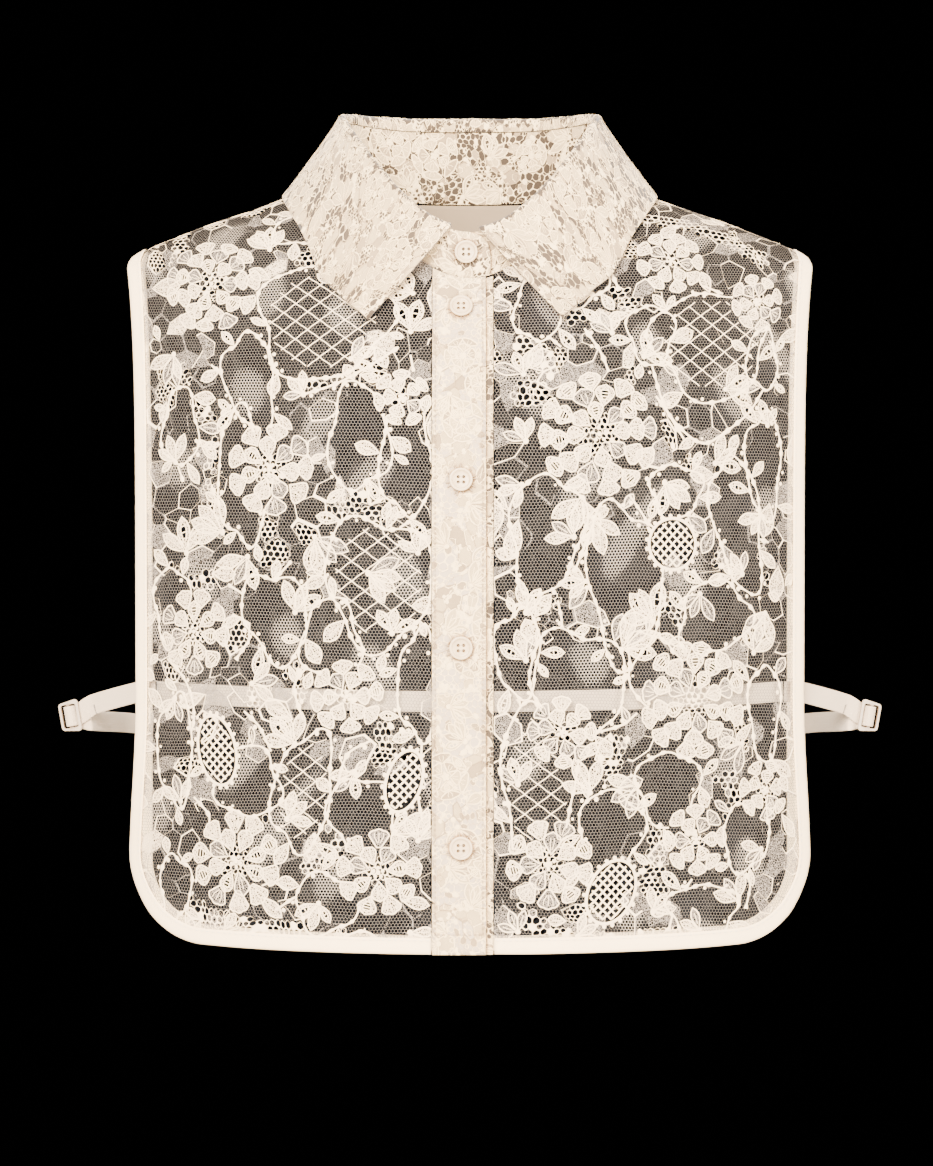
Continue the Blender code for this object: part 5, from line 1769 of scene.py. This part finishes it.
def strap_line(side):
    """Centre and width way of the side strap's stops."""
    along, bar, behind = slider_axes(side)
    centre = SLIDER_AT * (side, 1.0, 1.0)
    x = np.array([STRAP_END_X + STRAP_BUTT_GAP, 0.1660, 0.1700, 0.1745])
    place, upward = inside_front(x, STRAP_SIDE_Z - STRAP_BEND * (x - STRAP_END_X) ** 2)
    flip = np.array([-side, 1.0, 1.0])
    run = centre + STRAP_RUN[:, :1] * along + STRAP_RUN[:, 1:2] * bar + STRAP_RUN[:, 2:] * behind
    back = np.array([(-x * side, share * 0.0416, mix(-0.2830, STRAP_BACK_Z, share))
                     for x, share in ((0.1830, 0.55), (0.1757, 0.894), (0.1700, 1.0))])
    places = np.concatenate([place * flip, run, back])
    wides = np.concatenate([upward * flip, np.repeat(bar[None], len(run), 0), np.repeat(UP[None], 3, 0)])
    length = run_of(places)
    at = np.unique(np.concatenate([np.arange(0.0, length[-1], 0.0009), length]))
    curve = catmull(np.column_stack([length, places, wides]), at)
    return curve[:, :3], curve[:, 3:]


def build_elastic(name, centre, wide, material):
    """Ribbed elastic with a firm edge, closed all round."""
    ahead = unit(np.gradient(centre, axis=0))
    wide = unit(wide - ahead * (wide * ahead).sum(1)[:, None])
    thick = np.cross(ahead, wide)
    across = np.linspace(-1.0, 1.0, 21)
    rib = 0.82 + 0.16 * np.cos(across * math.pi * 8.0) - 0.30 * np.maximum(0.0, np.abs(across) - 0.93) / 0.07
    rim = np.concatenate([np.stack([across, rib], 1), np.stack([across, -rib], 1)[::-1]])
    loops = (centre[:, None] + wide[:, None] * rim[None, :, :1] * STRAP_WIDTH / 2.0
             + thick[:, None] * rim[None, :, 1:] * STRAP_WALL / 2.0)
    stations, around = loops.shape[:2]
    last = (stations - 1) * around
    faces = skin_faces(stations, around)
    faces += [tuple(range(around - 1, -1, -1)), tuple(range(last, last + around))]
    run = run_of(centre)[:, None] * UV_SCALE
    places = np.stack(np.broadcast_arrays(run, rim[None, :, 0] * 0.52), -1).reshape(-1, 2)
    return new_object(name, loops.reshape(-1, 3), faces, [material], None, places)


def rounded_outline(half_left, half_right, left, right, radius):
    corners = ((right, half_right), (left, half_left), (left, -half_left), (right, -half_right))
    points = []
    for i, (x, y) in enumerate(corners):
        cx = x - math.copysign(radius, x - (left + right) / 2.0)
        cy = y - math.copysign(radius, y)
        for step in range(7):
            angle = math.radians(90.0 * i + 15.0 * step)
            points.append((cx + radius * math.cos(angle), cy + radius * math.sin(angle)))
    return points


def build_slider(name, side, material):
    """A flat plastic frame with two slots and soft edges."""
    curve = bpy.data.curves.new(name, "CURVE")
    curve.dimensions = "2D"
    curve.fill_mode = "BOTH"
    soft = 0.00032
    curve.extrude = SLIDER_HALF_WALL - soft
    curve.bevel_depth = soft
    curve.bevel_resolution = 3
    curve.offset = -soft
    sizes = [(SLIDER_OUTER_HALF, SLIDER_INNER_HALF, -SLIDER_HALF_LENGTH, SLIDER_HALF_LENGTH, 0.0018)]
    for slot in (-SLOT_CENTRE, SLOT_CENTRE):
        low, high = slot - SLOT_HALF_WIDTH, slot + SLOT_HALF_WIDTH
        sizes.append((SLOT_HALF_HEIGHT, SLOT_HALF_HEIGHT, low, high, 0.0008))
    for size in sizes:
        outline = rounded_outline(*size)
        spline = curve.splines.new("POLY")
        spline.points.add(len(outline) - 1)
        for target, (x, y) in zip(spline.points, outline):
            target.co = (x, y, 0.0, 1.0)
        spline.use_cyclic_u = True
    along, bar, _ = slider_axes(side)
    turn = Matrix((along, bar, np.cross(along, bar))).transposed().to_4x4()
    place = Matrix.Translation(Vector(SLIDER_AT * (side, 1.0, 1.0)))
    return moulded(in_scene(name, curve), place @ turn, material, 50.0)


# --- the pieces --------------------------------------------------------------------------

def place_piece(thing, slot, *nodes):
    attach(thing, "root")
    if nodes:
        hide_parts(*nodes)
    return thing


def build_lace_panel(name, panel, work):
    return place_piece(lace_object(name + "_lace", work, panel, tuple(LACE), LACE), "lace", name)


left_panel = Panel(True, -0.2, PLACKET_LEFT_X - SEAM_GAP)
right_panel = Panel(True, UNDER_RIGHT_X + SEAM_GAP, 0.2)
back_panel = Panel(False, -0.2, 0.2)
left_work = front_lace(left_panel, -205.0, 2.0, 11, LEFT_LACE)
left_lace = build_lace_panel("front_left", left_panel, left_work)
right_work = front_lace(right_panel, -2.0, 205.0, 23, RIGHT_LACE)
right_lace = build_lace_panel("front_right", right_panel, right_work)
back_lace_piece = build_lace_panel("back", back_panel, back_lace())

# bindings, with a row of stitches along both faces of each
STITCH_INSIDE = BINDING_DEEP - 0.0013
edges = {"left": EdgeRoute(-1.0), "right": EdgeRoute(1.0)}
bindings = []
rows = []
for label, edge in edges.items():
    binding = build_binding(label + "_edge_binding", edge, TAPE)
    bindings.append(place_piece(binding, "binding", "binding_" + label))
    for face in (1.0, -1.0):
        line = edge.beside(STITCH_INSIDE, face * SEWN_OUTER)
        rows.append((line, (edge.beside(STITCH_INSIDE, face * (SEWN_OUTER + 0.001)) - line) * 1000.0))
place_piece(stitch_row("binding_stitches", rows, 0.0032, SEWING), "binding")


# lined pieces
def lace_for(rows, seed, step, size, pitch, base=None, squeeze=1.0):
    """Close lace as large as a form of rows; SQUEEZE narrows its motifs."""
    form = Grid(rows, base)
    work = lined_lace(form.width * 1000.0 / squeeze, form.height * 1000.0, seed, step, size, pitch)
    for point in work.points:
        point[:, 0] *= squeeze
    return work


def lined_piece(name, rows, wall, works, inner=CREAM_LINING, outer=LINING, base=None):
    """A backing cloth with close lace on its outer face, and on its inner one where WORKS has two."""
    # the backing's outer face is LINING unless given, a painted shade seen through the lace's holes
    core = place_piece(backing(name + "_lining", rows, wall - 0.0005, outer, inner), "lined_lace", name)
    shown = []
    for number, work in enumerate(works):
        form = Grid(rows if number == 0 else rows[:, ::-1], base)
        for point in work.points:
            point[:, 2] += (wall / 2.0 - 0.0002) * 1000.0
        label = name + ("_lace" if number == 0 else "_inner_lace")
        lace = lace_object(label, work, form, (DENSE, CORD, GAUZE), LINED)
        shown.append(place_piece(lace, "lined_lace"))
    return core, shown, rows, base


def band_rows(left_x, right_x, lift, columns=9, up_steps=120):
    x = np.linspace(left_x, right_x, columns)
    neck_z = cloth(x, top_turn(x, True), True)[:, 2]
    top = turn_at_height(x, neck_z - PLACKET_TOP_DROP, True)
    hem = turn_at_height(x, HEM_Z[True] - BINDING_OUTSIDE, True)
    rows = []
    for share in np.linspace(0.0, 1.0, up_steps):
        turn = mix(hem, top, share)
        rows.append(cloth(x, turn, True) + cloth_normal(x, turn, True) * lift)
    return np.stack(rows)


FOLD_ROW = 9
leaf = leaf_rows(np.linspace(*leaf_ends(), 201), 8, 14)
angles = np.linspace(*stand_ends(), 301)
stand = np.stack([stand_at(angles, up * end_rounding(angles)) for up in np.linspace(0.0, 1.0, 9)])[:, ::-1]
placket = band_rows(PLACKET_LEFT_X, PLACKET_RIGHT_X, PLACKET_LIFT)
under = band_rows(UNDER_LEFT_X, UNDER_RIGHT_X, -UNDER_SINK)
leaf_work = lace_for(leaf, 41, 38.0, 13.0, 4.4, FOLD_ROW, 0.60)
stand_works = [lace_for(stand, seed, 26.0, 9.5, 3.2) for seed in (43, 44)]
lined = [
    lined_piece("collar_leaf", leaf, COLLAR_WALL, [leaf_work], base=FOLD_ROW),
    lined_piece("collar_stand", stand, COLLAR_WALL, stand_works, SHADED_LINING),
    lined_piece("placket", placket, BAND_WALL, [lace_for(placket, 47, 25.0, 9.5, 3.0)], outer=CREAM_LINING),
    lined_piece("under_placket", under, BAND_WALL, [lace_for(placket, 49, 25.0, 9.5, 3.0)]),
]


# stitching along both edges of the placket and across its foot
def over_placket(x, z):
    turn = turn_at_height(x, z, True)
    way = cloth_normal(x, turn, True)
    return cloth(x, turn, True) + way * (PLACKET_LIFT + BAND_WALL / 2.0 + 0.0002), way


z = np.linspace(HEM_Z[True] + 0.008, -0.055, 90)
rows = [over_placket(0.0 * z + x, z) for x in (PLACKET_LEFT_X + 0.0016, PLACKET_RIGHT_X - 0.0016)]
x = np.linspace(PLACKET_LEFT_X + 0.002, PLACKET_RIGHT_X - 0.002, 20)
rows.append(over_placket(x, 0.0 * x - 0.3870))
place_piece(stitch_row("placket_stitches", rows, 0.0026, TAN_SEWING, 0.0018), "lined_lace")

# label
x = np.linspace(-LABEL_HALF_WIDTH, LABEL_HALF_WIDTH, 25)
label_angles = np.arcsin(x / (NECK_HALF_WIDTH - STAND_INSET))
label_rows = []
for drop in np.linspace(1.0, 0.0, 9):
    row = stand_at(label_angles, 0.0)
    row[:, 2] = neck_height(np.array(0.0)) - STAND_SEAT - 2.0 * SEAM_GAP - LABEL_HEIGHT * drop
    label_rows.append(row)
neck_label = place_piece(backing("satin_label", np.stack(label_rows), 0.0008, SATIN), "label", "neck_label")

# buttons
places = button_places()
for number, (place, normal) in enumerate(places, start=1):
    name = "button_%d" % number
    place_piece(build_button("resin_" + name, place, normal, RESIN), "button", name)
place_piece(build_button_threads("button_threads", places, TAN_SEWING), "button")

# straps and sliders
def build_strap(label, centre, wide):
    strap = build_elastic(label + "_elastic", centre, wide, ELASTIC)
    return place_piece(strap, "elastic", "strap_" + label), centre


x = np.linspace(-STRAP_END_X, STRAP_END_X, 150)
straps = [build_strap("front", *inside_front(x, STRAP_SIDE_Z - STRAP_SAG * (1.0 - (x / STRAP_END_X) ** 2)))]
for label, side in (("left", 1.0), ("right", -1.0)):
    straps.append(build_strap(label, *strap_line(side)))
    place_piece(build_slider(label + "_adjuster", side, CLEAR_PLASTIC), "slider", "slider_" + label)


# --- the cloth: the size each piece was cut to ---------------------------------------------

def cut_size(form, low, high, step=0.002):
    """Width, length and area of the cut that a form takes between two flat corners."""
    x, y = np.meshgrid(np.arange(low[0], high[0], step), np.arange(low[1], high[1], step), indexing="ij")
    flat = np.stack([x.ravel(), y.ravel()], 1)
    flat = flat[form.inside(flat)]
    width, length = np.ptp(flat, axis=0) + step
    return (float(width), float(length)), min(float(len(flat)) * step * step, float(width * length))


def run_length(line):
    return float(run_of(line)[-1])


for lace, panel in ((left_lace, left_panel), (right_lace, right_panel), (back_lace_piece, back_panel)):
    size, area = cut_size(panel, (-0.21, -0.03), (0.21, 0.43))
for core, laces, rows, base in lined:
    form = Grid(rows, base)
    size, area = cut_size(form, (0.0, 0.0), (form.width, form.height))
    below = "front_left_lace" if "placket" in core.name else "back_lace"
    for lace in laces:
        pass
for binding, edge in zip(bindings, edges.values()):
    length = run_length(edge.beside(BINDING_DEEP / 2.0, 0.0))
for strap, line in straps:
    run_length(line)


# --- stage, light and camera -------------------------------------------------------------

def build_stage():
    """A pale floor well under the garment."""
    mesh = bpy.data.meshes.new("floor")
    low, near, far, wide = -0.62, -1.6, 0.45, 1.3
    corners = [(-wide, near, low), (wide, near, low), (wide, far, low), (-wide, far, low)]
    mesh.from_pydata(corners, [], [(0, 1, 2, 3)])
    mesh.materials.append(plain_material("pale floor", (0.62, 0.61, 0.59), 0.9))
    in_scene("floor", mesh)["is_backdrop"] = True


def area_light(name, at, aim, size, power, colour=(1.0, 0.955, 0.885)):
    lamp = bpy.data.lights.new(name, "AREA")
    lamp.shape = "RECTANGLE"
    lamp.size, lamp.size_y = size
    lamp.energy = power
    lamp.color = colour
    thing = in_scene(name, lamp)
    thing.location = at
    thing.rotation_euler = (Vector(aim) - Vector(at)).to_track_quat("-Z", "Y").to_euler()


def build_light_and_camera():
    area_light("front softbox", (-0.75, -2.3, 0.85), (0.0, -0.05, -0.2), (1.3, 1.3), 520.0)
    area_light("side softbox", (1.6, -1.8, 0.2), (0.0, -0.05, -0.2), (1.2, 1.6), 210.0)
    area_light("high softbox", (0.0, -0.5, 1.7), (0.0, -0.05, -0.1), (1.2, 1.2), 60.0)
    world = bpy.data.worlds.new("studio")
    bpy.context.scene.world = world
    world.use_nodes = True
    world.node_tree.nodes["Background"].inputs["Color"].default_value = (0.0006, 0.0006, 0.0006, 1.0)
    camera = bpy.data.cameras.new("camera")
    camera.lens = 36.0 * 2000.0 / 583.0
    camera.sensor_width = 36.0
    thing = in_scene("camera", camera)
    thing.location = (-0.00175, -2.105, -0.211)
    thing.rotation_euler = (QUARTER, 0.0, 0.0)
    bpy.context.scene.camera = thing


build_stage()
build_light_and_camera()


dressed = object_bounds()
[[list(map(float, corner)) for corner in box] for box in (cad_box, dressed)]
